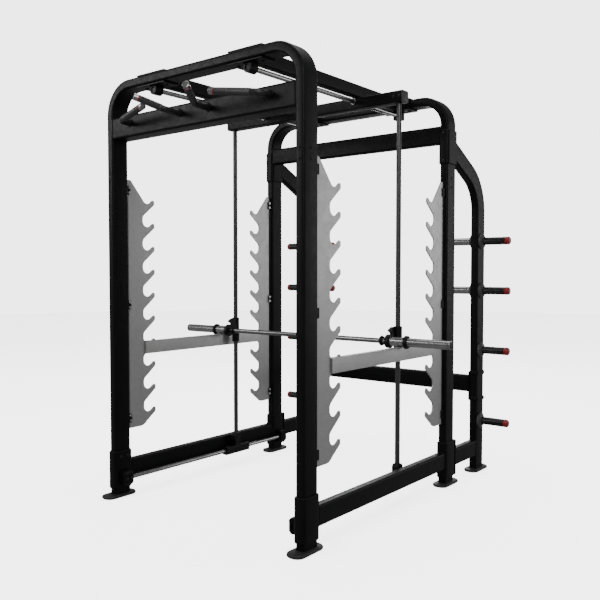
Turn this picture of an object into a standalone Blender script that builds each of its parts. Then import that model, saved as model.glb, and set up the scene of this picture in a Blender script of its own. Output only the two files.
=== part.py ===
"""Smith machine: a bent-tube frame, a travelling carriage and its guided bar.

Metres, +Z up. X runs across the machine, and Y from its open front to the
plate storage at its rear. The origin is on the floor, under the middle of the
box that the machine fills. "Inward" is the distance from a post's centre
towards the middle of the machine, along Y.
"""

import math

import bpy
import bmesh
from mathutils import Matrix, Vector

# Overall layout.
FRONT_Y = -0.793            # centre of the front posts
REAR_Y = FRONT_Y + 1.3515   # centre of the rear posts
STORE_Y = FRONT_Y + 1.769   # centre of the plate storage posts
POST_X = 0.6734             # centre of every post, left and right
GAP = 0.0003                # clearance between pieces that touch

# Rectangular frame tube.
TUBE_NARROW = 0.050
TUBE_DEEP = 0.106
TUBE_WALL = 0.003
TUBE_CORNER = 0.012
CORNER_STEPS = 2

# Arches: a front and a rear hoop of bent tube.
ARCH_TOP = 2.310
ARCH_BEND = 0.155           # radius of the tube's centreline
BEND_STEPS = 6

# Feet.
FOOT_WIDTH = 0.094
FOOT_LENGTH = 0.206
FOOT_HEIGHT = 0.018
FOOT_CORNER = 0.042
FOOT_RIM = 0.006
FOOT_FORWARD = 0.012        # how far the front feet sit ahead of their posts

# Saddles: welded sleeves that slide over a post.
PLATE = 0.008
SADDLE_LOW = 0.048
SADDLE_HIGH = 0.260

# Lower beams.
BEAM_LOW = 0.100
BEAM_HIGH = 0.200
FLANGE_HALF = 0.033
RAIL_BLOCK_LOW = 0.072
RAIL_BLOCK_HIGH = 0.148
RAIL_BLOCK_HALF = 0.027
RAIL_BLOCK_DEPTH = 0.025    # from the rail's axis to the block's free face
RAIL_BLOCK_CHAMFER = 0.012

# Rails and guide rods.
RAIL_RADIUS = 0.0127
UPPER_RAIL_X = 0.337
UPPER_RAIL_Z = 2.232
LOWER_RAIL_X = 0.615
LOWER_RAIL_Z = 0.1085
RAIL_INSET = 0.005          # from a block's face to the rail's end
ROD_Y = FRONT_Y + 0.889
ROD_RADIUS = 0.014
ROD_LOW = 0.1705
ROD_HIGH = 2.245
ROUND_SIDES = 16

# Crossbeams.
PULL_UP_LOW = 2.000
PULL_UP_HIGH = 2.117
REAR_BEAM_LOW = 2.020
REAR_BEAM_HIGH = 2.126
STORE_BEAM_LOW = 0.505
STORE_BEAM_HIGH = 0.611
STRAP_LOW = 0.448
STRAP_HIGH = 0.641
STRAP_HEIGHT = 0.028

# Top beams and the rail blocks under their saddles.
TOP_BEAM_LOW = 2.2545
TOP_BEAM_HIGH = 2.328
TOP_SADDLE_HALF = 0.108
TOP_SADDLE_REACH = 0.045    # how far the legs pass the arch's centre
TOP_BLOCK_HALF = 0.026
TOP_BLOCK_WIDTH = 0.050
TOP_BLOCK_LOW = 2.206

# Storage uprights.
STORE_BEND_Z = 1.651        # where the upright starts to bend forward
STORE_BEND = 0.257
STORE_BEND_ANGLE = math.radians(63.5)
STORE_SADDLE_LOW = 1.903
STORE_SADDLE_HIGH = 2.102

# Storage pegs.
PEG_LEVELS = (1.466, 1.153, 0.775, 0.322)
THROUGH_LEVELS = 2          # the upper levels reach inward as well
PEG_RADIUS = 0.024
PEG_BORE = 0.020
PEG_END = 0.890
PEG_INNER_END = 2 * POST_X - PEG_END
PEG_FLANGE_RADIUS = 0.049
PEG_FLANGE = 0.020
PEG_CAP = 0.007
PEG_END_WALL = 0.010

# Carriage crossbeam.
CARRIAGE_HALF = 0.648
CARRIAGE_DEEP = 0.066
CARRIAGE_LOW = 2.188
CARRIAGE_HIGH = 2.251
CARRIAGE_CORNER = 0.006
CAP_THICKNESS = 0.0067
CAP_PLUG = 0.012
BEARING_RADIUS = 0.0165
BEARING_HALF = 0.038
BEARING_FLANGE = 0.0182

# Lower carriages.
SHOE_LOW = 0.083
SHOE_HIGH = 0.134
SHOE_WIDTH = 0.046
SHOE_LENGTH = 0.210
SHOE_CHAMFER = 0.008
PEDESTAL_WIDTH = 0.038
PEDESTAL_HIGH = 0.209
NECK_LENGTH = 0.042
NECK_HIGH = 0.160
CLAMP_LOW = 0.166
CLAMP_LENGTH = 0.054
CLAMP_TOP_LENGTH = 0.034
CLAMP_CHAMFER = 0.012

# Bar and what rides on it.
BAR_Y = FRONT_Y + 0.814
BAR_Z = 0.8945
BAR_RADIUS = 0.014
BAR_HALF = 0.968
BAR_EDGE = 0.002            # chamfer of the shaft and the racking collars
CLAMP_COLLAR = (0.552, 0.565)
CLAMP_RADIUS = 0.027
BEARING_RING = (0.593, 0.616)
RING_RADIUS = 0.0375
RACKING_COLLAR = (0.6163, 0.7040)
RACKING_RADIUS = 0.026
SLEEVE = (0.7043, 0.976)
SLEEVE_RADIUS = 0.024
SLEEVE_FLANGE_RADIUS = 0.036
SLEEVE_FLANGE = 0.018
SLEEVE_EDGE = 0.003
HOUSING_LOW = 0.817
HOUSING_HIGH = 0.972
HOUSING_RADIUS = 0.023
WEB_DROP = 0.023            # from the bar's axis to the foot of the web behind its ring
WEB_TOP = 0.938
WEB_INSET = 0.003
LUG_X = (-0.017, -0.005)    # from the guide rod's axis
LUG_LOW = 0.934
LUG_HIGH = 0.970
LUG_TIP_Z = 0.953
LUG_SHOULDER = 0.024        # behind the bar's axis
LUG_TIP = 0.011             # ahead of the bar's axis

# Hook plates: a column of open hooks on each post.
HOOKS = 10
HOOK_PITCH = 0.1353
TOP_TIP_Z = 1.690
PLATE_EDGE = 0.068          # straight edge, inward of the post's centre
PLATE_TOP = 1.795
PLATE_TOP_END = 0.086
PLATE_BOTTOM = 0.372
PLATE_CORNER = 0.055
PLATE_CORNER_INWARD = 0.145
SEAT_INWARD = 0.2045
SEAT_RISE = 0.0115          # seat centre above the hook's tip
SEAT_RADIUS = 0.0335
NOSE_INWARD = 0.2473
NOSE_RADIUS = 0.010
CHIN_INWARD = 0.2413
CHIN_DROP = 0.0185
CHIN_RADIUS = 0.016
FILLET_DROP = 0.1115
FILLET_RADIUS = 0.030
CLEAT_LEVELS = (1.735, 1.082, 0.430)
CLEAT_END = 0.078
CLEAT_WIDTH = 0.024
CLEAT_HEIGHT = 0.050
CLEAT_SLOT = 0.0086

# Safety arms: channels that hang in one pair of hooks, front and rear.
ARM_HOOK = 6                # counted down from the top hook, which is 0
ARM_WIDTH = 0.028
ARM_WALL = 0.006
ARM_LOW = 0.7935
ARM_WEB = 0.8602
ARM_HIGH = 0.868
ARM_END = 0.178             # inward of both posts
ARM_BRIDGE = (0.192, 0.217)
ARM_SLOT_END = 0.272
ARM_SLOT_WIDTH = 0.012

# Pull-up handles: root, corner and tip of the bent tube, right-hand side.
HANDLE_RADIUS = 0.016
HANDLE_GRIP_RADIUS = 0.018
HANDLE_ROOT_Z = 2.073
HANDLE_FLANGE_RADIUS = 0.022
HANDLE_FLANGE = 0.004
INNER_HANDLE = ((0.101, -0.140, HANDLE_ROOT_Z), (0.186, -0.275, 2.127))
OUTER_HANDLE = ((0.498, -0.115, HANDLE_ROOT_Z), (0.237, -0.175, 2.106))
HANDLE_BEND = 0.045
GRIP_START = 0.012          # from the end of the bend
HANDLE_SIDES = 12

# Finishes: linear colour, roughness, metallic.
FRAME_BLACK = ("frame_black", (0.009, 0.009, 0.010), 0.42, 0.0)
FOOT_GREY = ("foot_grey", (0.045, 0.045, 0.047), 0.55, 0.0)
PLATE_GREY = ("plate_grey", (0.33, 0.33, 0.33), 0.38, 0.6)
ROD_GREY = ("rod_grey", (0.12, 0.12, 0.12), 0.25, 1.0)
CHROME = ("chrome", (0.62, 0.62, 0.63), 0.12, 1.0)
BEARING_STEEL = ("bearing_steel", (0.40, 0.40, 0.41), 0.28, 1.0)
CAP_GREY = ("cap_grey", (0.090, 0.090, 0.090), 0.50, 0.0)
HOUSING_BLACK = ("housing_black", (0.006, 0.006, 0.006), 0.45, 0.0)


# Mesh helpers -----------------------------------------------------------------

def clear_scene():
    """Remove every object that the file starts with."""
    for item in list(bpy.data.objects):
        bpy.data.objects.remove(item, do_unlink=True)


def rectangle(width, height, corner=0.0, steps=CORNER_STEPS):
    """Outline of a rectangle about (0, 0), with rounded corners."""
    points = []
    for turn in range(4):
        centre_a = (width / 2 - corner) * (1 if turn in (0, 3) else -1)
        centre_b = (height / 2 - corner) * (1 if turn in (0, 1) else -1)
        if corner == 0.0:
            points.append((centre_a, centre_b))
            continue
        for step in range(steps + 1):
            angle = math.radians(90 * (turn + step / steps))
            points.append((centre_a + corner * math.cos(angle),
                           centre_b + corner * math.sin(angle)))
    return points


def arc(centre, radius, start, end, steps):
    """Points along an arc, both ends included; angles in degrees."""
    points = []
    for step in range(steps + 1):
        angle = math.radians(start + (end - start) * step / steps)
        points.append((centre[0] + radius * math.cos(angle),
                       centre[1] + radius * math.sin(angle)))
    return points


def finished(shape, name):
    """Turn a closed bmesh into a mesh whose faces point out."""
    bmesh.ops.recalc_face_normals(shape, faces=shape.faces)
    mesh = bpy.data.meshes.new(name)
    shape.to_mesh(mesh)
    shape.free()
    return mesh


def bridge(shape, first, second):
    """Join two rings of vertices with four-sided faces."""
    count = len(first)
    for index in range(count):
        after = (index + 1) % count
        shape.faces.new((first[index], first[after], second[after], second[index]))


def prism(outline, axis, start, end):
    """Extrude a flat outline along X, Y or Z."""
    place = {"X": lambda a, b, along: (along, a, b),
             "Y": lambda a, b, along: (a, along, b),
             "Z": lambda a, b, along: (a, b, along)}[axis]
    shape = bmesh.new()
    rings = [[shape.verts.new(place(a, b, along)) for a, b in outline]
             for along in (start, end)]
    bridge(shape, rings[0], rings[1])
    shape.faces.new(rings[0])
    shape.faces.new(rings[1])
    return finished(shape, "prism")


def box(x_range, y_range, z_range):
    """A plain block between two limits on each axis."""
    outline = [(x_range[0], y_range[0]), (x_range[1], y_range[0]),
               (x_range[1], y_range[1]), (x_range[0], y_range[1])]
    return prism(outline, "Z", z_range[0], z_range[1])


def turned(profile, axis="X", bored=False, sides=ROUND_SIDES):
    """Revolve (radius, distance) points; a bored shape closes on its first point."""
    shape = bmesh.new()
    rings = []
    for radius, along in profile:
        ring = []
        for side in range(sides):
            angle = 2 * math.pi * side / sides
            ring.append(shape.verts.new((along, radius * math.cos(angle),
                                         radius * math.sin(angle))))
        rings.append(ring)
    for first, second in zip(rings, rings[1:]):
        bridge(shape, first, second)
    if bored:
        bridge(shape, rings[-1], rings[0])
    else:
        shape.faces.new(rings[0])
        shape.faces.new(rings[-1])
    turn = {"X": Matrix.Identity(3),
            "Y": Matrix.Rotation(math.pi / 2, 3, "Z"),
            "Z": Matrix.Rotation(-math.pi / 2, 3, "Y")}[axis]
    bmesh.ops.transform(shape, matrix=turn.to_4x4(), verts=shape.verts)
    return finished(shape, "turned")


def swept(stations, outer, inner=None):
    """Carry an outline along stations of (point, first axis, second axis)."""
    shape = bmesh.new()

    def rings_of(outline):
        return [[shape.verts.new(point + across * a + side * b) for a, b in outline]
                for point, across, side in stations]

    rings = rings_of(outer)
    for first, second in zip(rings, rings[1:]):
        bridge(shape, first, second)
    if inner is None:
        shape.faces.new(rings[0])
        shape.faces.new(rings[-1])
    else:
        bores = rings_of(inner)
        for first, second in zip(bores, bores[1:]):
            bridge(shape, first, second)
        bridge(shape, rings[0], bores[0])
        bridge(shape, rings[-1], bores[-1])
    return finished(shape, "swept")


def moved(mesh, offset):
    """Shift a mesh and return it."""
    mesh.transform(Matrix.Translation(Vector(offset)))
    return mesh


def combined(base, tools, operation):
    """Apply each tool mesh to the base with an exact Boolean."""
    collection = bpy.context.scene.collection
    holder = bpy.data.objects.new("holder", base)
    collection.objects.link(holder)
    helpers = []
    for tool in tools:
        helper = bpy.data.objects.new("helper", tool)
        helper.hide_render = True
        helper.display_type = "WIRE"
        collection.objects.link(helper)
        helpers.append(helper)
        modifier = holder.modifiers.new("cut", "BOOLEAN")
        modifier.operation = operation
        modifier.solver = "EXACT"
        modifier.object = helper
    graph = bpy.context.evaluated_depsgraph_get()
    result = bpy.data.meshes.new_from_object(holder.evaluated_get(graph))
    for item in helpers + [holder]:
        bpy.data.objects.remove(item, do_unlink=True)
    return result


def joined(base, *tools):
    """One body from several overlapping ones."""
    return combined(base, tools, "UNION")


def cut(base, *tools):
    """The base with the tools taken away."""
    return combined(base, tools, "DIFFERENCE")


def finish_of(recipe):
    """The material of a finish, made once."""
    name, colour, roughness, metallic = recipe
    found = bpy.data.materials.get(name)
    if found:
        return found
    finish = bpy.data.materials.new(name)
    finish.use_nodes = True
    shader = finish.node_tree.nodes["Principled BSDF"]
    shader.inputs["Base Color"].default_value = (*colour, 1.0)
    shader.inputs["Roughness"].default_value = roughness
    shader.inputs["Metallic"].default_value = metallic
    return finish


def pivot(name, location, parent=None):
    """An empty that moving pieces hang from."""
    empty = bpy.data.objects.new(name, None)
    empty.empty_display_size = 0.05
    empty.location = location
    if parent:
        empty.parent = parent
        empty.location = Vector(location) - parent.matrix_world.translation
    bpy.context.scene.collection.objects.link(empty)
    bpy.context.view_layer.update()
    return empty


def add_part(name, mesh, recipe, location=(0, 0, 0), turn=0.0, parent=None, smooth=True):
    """Place one named sub-part; turn is in degrees about Z."""
    part = bpy.data.objects.new(name, mesh)
    part.location = location
    if parent:
        part.parent = parent
        part.location = Vector(location) - parent.matrix_world.translation
    part.rotation_euler = (0, 0, math.radians(turn))
    if not mesh.materials:
        mesh.materials.append(finish_of(recipe))
    if smooth:
        mesh.shade_smooth()
        mesh.set_sharp_from_angle(angle=math.radians(30))
    bpy.context.scene.collection.objects.link(part)
    return part


SIDES = (("left", -1), ("right", 1))


# Frame ------------------------------------------------------------------------

def post_outlines():
    """Outer and inner outline of the post tube, narrow side first."""
    outer = rectangle(TUBE_NARROW, TUBE_DEEP, TUBE_CORNER)
    inner = rectangle(TUBE_NARROW - 2 * TUBE_WALL, TUBE_DEEP - 2 * TUBE_WALL,
                      TUBE_CORNER - TUBE_WALL)
    return outer, inner


def arch_mesh():
    """A hoop of tube up one post, across and down the other, with hook cleats inward."""
    along_y = Vector((0, 1, 0))
    foot_top = FOOT_HEIGHT + GAP
    bend_x = POST_X - ARCH_BEND
    bend_z = ARCH_TOP - TUBE_NARROW / 2 - ARCH_BEND
    stations = [(Vector((-POST_X, 0, foot_top)), Vector((-1, 0, 0)), along_y)]
    for side, first in ((-1, 180), (1, 90)):
        for step in range(BEND_STEPS + 1):
            angle = math.radians(first - 90 * step / BEND_STEPS)
            outward = Vector((math.cos(angle), 0, math.sin(angle)))
            centre = Vector((side * bend_x, 0, bend_z))
            stations.append((centre + outward * ARCH_BEND, outward, along_y))
    stations.append((Vector((POST_X, 0, foot_top)), Vector((1, 0, 0)), along_y))
    hoop = swept(stations, *post_outlines())
    cleats = []
    slots = []
    start = TUBE_DEEP / 2 - TUBE_WALL / 2
    for _, side in SIDES:
        for level in CLEAT_LEVELS:
            x = side * POST_X
            z_range = (level - CLEAT_HEIGHT / 2, level + CLEAT_HEIGHT / 2)
            cleats.append(box((x - CLEAT_WIDTH / 2, x + CLEAT_WIDTH / 2),
                              (start, CLEAT_END), z_range))
            slots.append(box((x - CLEAT_SLOT / 2, x + CLEAT_SLOT / 2),
                             (PLATE_EDGE - GAP, CLEAT_END + PLATE),
                             (z_range[0] - PLATE, z_range[1] + PLATE)))
    return cut(joined(hoop, *cleats), *slots)


def add_arches():
    """The front hoop faces the rear, and the rear hoop is the same piece turned round."""
    mesh = arch_mesh()
    add_part("front_arch", mesh, FRAME_BLACK, (0, FRONT_Y, 0))
    add_part("rear_arch", mesh, FRAME_BLACK, (0, REAR_Y, 0), turn=180)


def add_feet():
    """A bevelled oblong plate under each of the six posts."""
    full = rectangle(FOOT_WIDTH, FOOT_LENGTH, FOOT_CORNER, 3)
    small = rectangle(FOOT_WIDTH - 2 * FOOT_RIM, FOOT_LENGTH - 2 * FOOT_RIM,
                      FOOT_CORNER - FOOT_RIM, 3)
    shape = bmesh.new()
    rings = []
    for outline, height in ((full, 0), (full, FOOT_HEIGHT - FOOT_RIM), (small, FOOT_HEIGHT)):
        rings.append([shape.verts.new((x, y, height)) for x, y in outline])
    bridge(shape, rings[0], rings[1])
    bridge(shape, rings[1], rings[2])
    shape.faces.new(rings[0])
    shape.faces.new(rings[2])
    mesh = finished(shape, "foot")
    for row, y in (("front", FRONT_Y - FOOT_FORWARD), ("rear", REAR_Y), ("storage", STORE_Y)):
        for label, side in SIDES:
            add_part(f"foot_{row}_{label}", mesh, FOOT_GREY, (side * POST_X, y, 0))


def saddle(low, high):
    """A sleeve about a post at (0, 0), and the space inside it."""
    wide, deep = TUBE_NARROW + 2 * GAP, TUBE_DEEP + 2 * GAP
    sleeve = prism(rectangle(wide + 2 * PLATE, deep + 2 * PLATE, TUBE_CORNER + PLATE), "Z",
                   low, high)
    return sleeve, prism(rectangle(wide, deep, TUBE_CORNER), "Z", low - PLATE, high + PLATE)


def side_beam_mesh():
    """The lower beam between the front and rear posts, with a saddle at each end."""
    start = TUBE_DEEP / 2 + GAP + PLATE / 4
    span = REAR_Y - FRONT_Y
    beam = prism(rectangle(TUBE_NARROW, BEAM_HIGH - BEAM_LOW, TUBE_CORNER), "Y", start, span - start)
    moved(beam, (0, 0, (BEAM_LOW + BEAM_HIGH) / 2))
    front, front_space = saddle(SADDLE_LOW, SADDLE_HIGH)
    rear, rear_space = saddle(SADDLE_LOW, SADDLE_HIGH)
    moved(rear, (0, span, 0))
    moved(rear_space, (0, span, 0))
    hollow = prism(rectangle(TUBE_NARROW - 2 * TUBE_WALL, BEAM_HIGH - BEAM_LOW - 2 * TUBE_WALL,
                             TUBE_CORNER - TUBE_WALL), "Y", TUBE_DEEP / 4, span - TUBE_DEEP / 4)
    moved(hollow, (0, 0, (BEAM_LOW + BEAM_HIGH) / 2))
    return cut(joined(beam, front, rear), front_space, rear_space, hollow)


def rail_block_mesh(side):
    """The chamfered block on a saddle's inner wall that holds a lower rail's end."""
    wall = POST_X - TUBE_NARROW / 2 - GAP - PLATE / 2
    low, high = RAIL_BLOCK_LOW, RAIL_BLOCK_HIGH
    inner = LOWER_RAIL_X - RAIL_BLOCK_DEPTH
    chamfer = RAIL_BLOCK_CHAMFER
    outline = [(wall, low), (wall, high), (inner + chamfer, high), (inner, high - chamfer),
               (inner, low + chamfer), (inner + chamfer, low)]
    outline = [(side * (x - POST_X), z) for x, z in outline]
    return prism(outline, "Y", -RAIL_BLOCK_HALF, RAIL_BLOCK_HALF)


def add_side_beams():
    """Left and right lower beams; their saddles carry the blocks of the lower rails."""
    span = REAR_Y - FRONT_Y
    for label, side in SIDES:
        blocks = [moved(rail_block_mesh(side), (0, y, 0)) for y in (0, span)]
        bore = turned([(RAIL_RADIUS + GAP, -0.1), (RAIL_RADIUS + GAP, span + 0.1)], "Y")
        moved(bore, (side * (LOWER_RAIL_X - POST_X), 0, LOWER_RAIL_Z))
        mesh = cut(joined(side_beam_mesh(), *blocks), bore)
        add_part(f"side_beam_{label}", mesh, FRAME_BLACK, (side * POST_X, FRONT_Y, 0))


def add_storage_beams():
    """Lower beams from the rear posts to the storage posts, with a bolting flange in front."""
    start = TUBE_DEEP / 2 + 2 * GAP + PLATE
    end = STORE_Y - REAR_Y - TUBE_DEEP / 2 - GAP
    height = BEAM_HIGH - BEAM_LOW
    middle = (BEAM_LOW + BEAM_HIGH) / 2
    beam = prism(rectangle(TUBE_NARROW, height, TUBE_CORNER), "Y", start + PLATE / 2, end)
    hollow = prism(rectangle(TUBE_NARROW - 2 * TUBE_WALL, height - 2 * TUBE_WALL,
                             TUBE_CORNER - TUBE_WALL), "Y", 0, end + PLATE)
    flange = box((-FLANGE_HALF, FLANGE_HALF), (start, start + PLATE), (SADDLE_LOW, SADDLE_HIGH))
    mesh = cut(joined(moved(beam, (0, 0, middle)), flange), moved(hollow, (0, 0, middle)))
    for label, side in SIDES:
        add_part(f"storage_beam_{label}", mesh, FRAME_BLACK, (side * POST_X, REAR_Y, 0))


def crossbeam_mesh(low, high, front, back, shorter=0.0):
    """A hollow beam that runs between the posts, open at both ends."""
    half = POST_X - TUBE_NARROW / 2 - GAP - shorter
    deep = back - front
    tall = high - low
    outer = rectangle(deep, tall, TUBE_CORNER)
    inner = rectangle(deep - 2 * TUBE_WALL, tall - 2 * TUBE_WALL, TUBE_CORNER - TUBE_WALL)
    across, upward = Vector((0, 1, 0)), Vector((0, 0, 1))
    centre_y, centre_z = (front + back) / 2, (low + high) / 2
    stations = [(Vector((x, centre_y, centre_z)), across, upward) for x in (-half, half)]
    return swept(stations, outer, inner)


def add_crossbeams():
    """The pull-up beam in front, the rear beam and the storage beam with its straps."""
    front = -TUBE_DEEP / 2
    pull_up = crossbeam_mesh(PULL_UP_LOW, PULL_UP_HIGH, front, -front)
    add_part("pull_up_beam", pull_up, FRAME_BLACK, (0, FRONT_Y, 0))
    back = front + TUBE_NARROW
    rear = crossbeam_mesh(REAR_BEAM_LOW, REAR_BEAM_HIGH, front, back)
    saddle_face = POST_X - TUBE_NARROW / 2 - 2 * GAP - PLATE
    copes = [box(sorted((side * saddle_face, side * POST_X)), (front - PLATE, back + PLATE),
                 (STORE_SADDLE_LOW, STORE_SADDLE_HIGH + GAP)) for _, side in SIDES]
    add_part("rear_crossbeam", cut(rear, *copes), FRAME_BLACK, (0, REAR_Y, 0))
    add_part("storage_crossbeam", storage_crossbeam_mesh(front, back), FRAME_BLACK, (0, STORE_Y, 0))


def storage_crossbeam_mesh(front, back):
    """A beam with an end plate at each post and two straps round it, above and below."""
    beam = crossbeam_mesh(STORE_BEAM_LOW, STORE_BEAM_HIGH, front, back, PLATE / 2)
    inside_x = TUBE_NARROW / 2 + GAP
    inside_y = TUBE_DEEP / 2 + GAP
    additions = []
    posts = []
    windows = []
    for _, side in SIDES:
        x = side * POST_X
        half_x, half_y = inside_x + PLATE, inside_y + PLATE
        inset = STRAP_HEIGHT / 4
        plate = sorted((side * (POST_X - half_x + GAP), side * (POST_X - inside_x + GAP)))
        additions.append(box(plate, (-half_y + TUBE_CORNER, half_y - TUBE_CORNER),
                             (STRAP_LOW + inset, STRAP_HIGH - inset)))
        for low in (STRAP_LOW, STRAP_HIGH - STRAP_HEIGHT):
            strap = prism(rectangle(2 * half_x, 2 * half_y, TUBE_CORNER), "Z", low, low + STRAP_HEIGHT)
            additions.append(moved(strap, (x, 0, 0)))
        post = prism(rectangle(2 * inside_x, 2 * inside_y, TUBE_CORNER), "Z",
                     STRAP_LOW - PLATE, STRAP_HIGH + PLATE)
        posts.append(moved(post, (x, 0, 0)))
        middle = side * (POST_X - inside_x)
        windows.append(box((middle - TUBE_CORNER, middle + TUBE_CORNER),
                           (front + TUBE_CORNER, back - TUBE_CORNER),
                           (STORE_BEAM_LOW + TUBE_CORNER, STORE_BEAM_HIGH - TUBE_CORNER)))
    return cut(joined(beam, *additions), *posts, *windows)


def top_beam_mesh():
    """A top beam whose saddles grip both arches and carry an upper rail's blocks."""
    span = REAR_Y - FRONT_Y
    start = TUBE_DEEP / 2 + GAP
    tall = TOP_BEAM_HIGH - TOP_BEAM_LOW
    middle = (TOP_BEAM_LOW + TOP_BEAM_HIGH) / 2
    beam = prism(rectangle(TUBE_NARROW, tall, TUBE_CORNER), "Y", start + PLATE / 2,
                 span - start - PLATE / 2)
    moved(beam, (0, 0, middle))
    hollow = prism(rectangle(TUBE_NARROW - 2 * TUBE_WALL, tall - 2 * TUBE_WALL,
                             TUBE_CORNER - TUBE_WALL), "Y", start + PLATE, span - start - PLATE)
    moved(hollow, (0, 0, middle))
    arch_low = ARCH_TOP - TUBE_NARROW - GAP
    arch_high = ARCH_TOP + GAP
    additions = []
    removals = [hollow]
    for y, inward in ((0, 1), (span, -1)):
        reach = sorted((y - inward * TOP_SADDLE_REACH, y + inward * (start + PLATE)))
        additions.append(box((-TOP_SADDLE_HALF, TOP_SADDLE_HALF), reach,
                             (arch_low - PLATE, arch_high + PLATE)))
        removals.append(box((-2 * TOP_SADDLE_HALF, 2 * TOP_SADDLE_HALF),
                            sorted((y - inward * 0.2, y + inward * start)), (arch_low, arch_high)))
        removals.append(box((-TUBE_CORNER, TUBE_CORNER), (y - TUBE_DEEP, y + TUBE_DEEP),
                            (arch_low + PLATE, arch_high - PLATE)))
        additions.append(rail_hanger(y, rounded=inward > 0))
    bore = turned([(RAIL_RADIUS + GAP, -0.1), (RAIL_RADIUS + GAP, span + 0.1)], "Y")
    removals.append(moved(bore, (0, 0, UPPER_RAIL_Z)))
    return cut(joined(beam, *additions), *removals)


def rail_hanger(y, rounded):
    """The block under a top saddle; the front one is rounded below."""
    half = TOP_BLOCK_WIDTH / 2
    top = ARCH_TOP - TUBE_NARROW - GAP - PLATE / 2
    if rounded:
        outline = arc((0, TOP_BLOCK_LOW + half), half, 180, 360, 6) + [(half, top), (-half, top)]
    else:
        outline = [(-half, TOP_BLOCK_LOW), (half, TOP_BLOCK_LOW), (half, top), (-half, top)]
    return prism(outline, "Y", y - TOP_BLOCK_HALF, y + TOP_BLOCK_HALF)


def add_top_beams():
    """Left and right top beams."""
    mesh = top_beam_mesh()
    for label, side in SIDES:
        add_part(f"top_beam_{label}", mesh, FRAME_BLACK, (side * UPPER_RAIL_X, FRONT_Y, 0))


def storage_upright_mesh(side):
    """A post that bends forward at its top and grips the rear post with a saddle."""
    along_x = Vector((1, 0, 0))
    start = Vector((0, STORE_Y - REAR_Y, FOOT_HEIGHT + GAP))
    centre = Vector((0, start.y - STORE_BEND, STORE_BEND_Z))
    stations = [(start, along_x, Vector((0, 1, 0)))]
    for step in range(BEND_STEPS + 1):
        angle = STORE_BEND_ANGLE * step / BEND_STEPS
        outward = Vector((0, math.cos(angle), math.sin(angle)))
        stations.append((centre + outward * STORE_BEND, along_x, outward))
    heading = Vector((0, -math.sin(STORE_BEND_ANGLE), math.cos(STORE_BEND_ANGLE)))
    last, _, outward = stations[-1]
    saddle_wall = TUBE_DEEP / 2 + GAP + PLATE / 4
    length = (last.y - saddle_wall) / -heading.y
    upright_end = outward - heading * (outward.y / heading.y)
    stations.append((last + heading * length, along_x, upright_end))
    tube = swept(stations, *post_outlines())
    grip, inside = saddle(STORE_SADDLE_LOW, STORE_SADDLE_HIGH)
    bores = []
    rings = []
    face = -side * (TUBE_NARROW - TUBE_WALL) / 2
    edge = -side * PEG_FLANGE / 2
    for level in PEG_LEVELS[:THROUGH_LEVELS]:
        bore = turned([(PEG_RADIUS + GAP, -0.1), (PEG_RADIUS + GAP, 0.1)])
        bores.append(moved(bore, (0, start.y, level)))
        ring = turned([(PEG_FLANGE_RADIUS, face), (PEG_FLANGE_RADIUS, face + edge),
                       (PEG_FLANGE_RADIUS - abs(edge), face + 2 * edge)])
        rings.append(moved(ring, (0, start.y, level)))
    return cut(joined(tube, grip, *rings), inside, *bores)


def add_storage_uprights():
    """Left and right storage posts, with welded rings round the through pegs inside."""
    for label, side in SIDES:
        add_part(f"storage_upright_{label}", storage_upright_mesh(side), FRAME_BLACK,
                 (side * POST_X, REAR_Y, 0))


def add_storage_pegs():
    """Hollow pegs for spare plates: through the post above, on its outer face below."""
    face = POST_X + TUBE_NARROW / 2 + GAP
    edge = PEG_FLANGE / 2
    end = [(PEG_RADIUS, PEG_END - PEG_CAP), (PEG_RADIUS - PEG_CAP, PEG_END)]
    flange = [(PEG_FLANGE_RADIUS, face), (PEG_FLANGE_RADIUS, face + edge),
              (PEG_FLANGE_RADIUS - edge, face + PEG_FLANGE), (PEG_RADIUS, face + PEG_FLANGE)]
    bore_end = PEG_END - PEG_END_WALL
    outer_peg = turned([(PEG_BORE, bore_end), (PEG_BORE, face)] + flange + end)
    through_peg = turned([(PEG_BORE, bore_end), (PEG_BORE, PEG_INNER_END),
                          (PEG_RADIUS, PEG_INNER_END), (PEG_RADIUS, face)] + flange + end)
    for level, height in enumerate(PEG_LEVELS):
        for label, side in SIDES:
            mesh = through_peg if level < THROUGH_LEVELS else outer_peg
            turn = 0 if side > 0 else 180
            add_part(f"storage_peg_{level + 1}_{label}", mesh, CHROME, (0, STORE_Y, height), turn)


# Hook plates and safety arms --------------------------------------------------

def hook_outline():
    """The hooked edge from top to bottom, then the straight edge; (inward, height)."""
    points = [(PLATE_EDGE, PLATE_TOP), (PLATE_TOP_END, PLATE_TOP)]
    fillet_inward = SEAT_INWARD - SEAT_RADIUS + FILLET_RADIUS
    for hook in range(HOOKS):
        tip = TOP_TIP_Z - hook * HOOK_PITCH
        seat_start = 230 if hook == 0 else 180
        points += arc((SEAT_INWARD, tip + SEAT_RISE), SEAT_RADIUS, seat_start, 318, 5)
        points += arc((NOSE_INWARD, tip - NOSE_RADIUS), NOSE_RADIUS, 135, 0, 2)
        points += arc((CHIN_INWARD, tip - CHIN_DROP), CHIN_RADIUS, 0, -50, 1)[1:]
        if hook < HOOKS - 1:
            points += arc((fillet_inward, tip - FILLET_DROP), FILLET_RADIUS, 130, 180, 1)
    points += arc((PLATE_CORNER_INWARD, PLATE_BOTTOM + PLATE_CORNER), PLATE_CORNER, -40, -90, 2)
    points.append((PLATE_EDGE, PLATE_BOTTOM))
    return points


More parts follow.
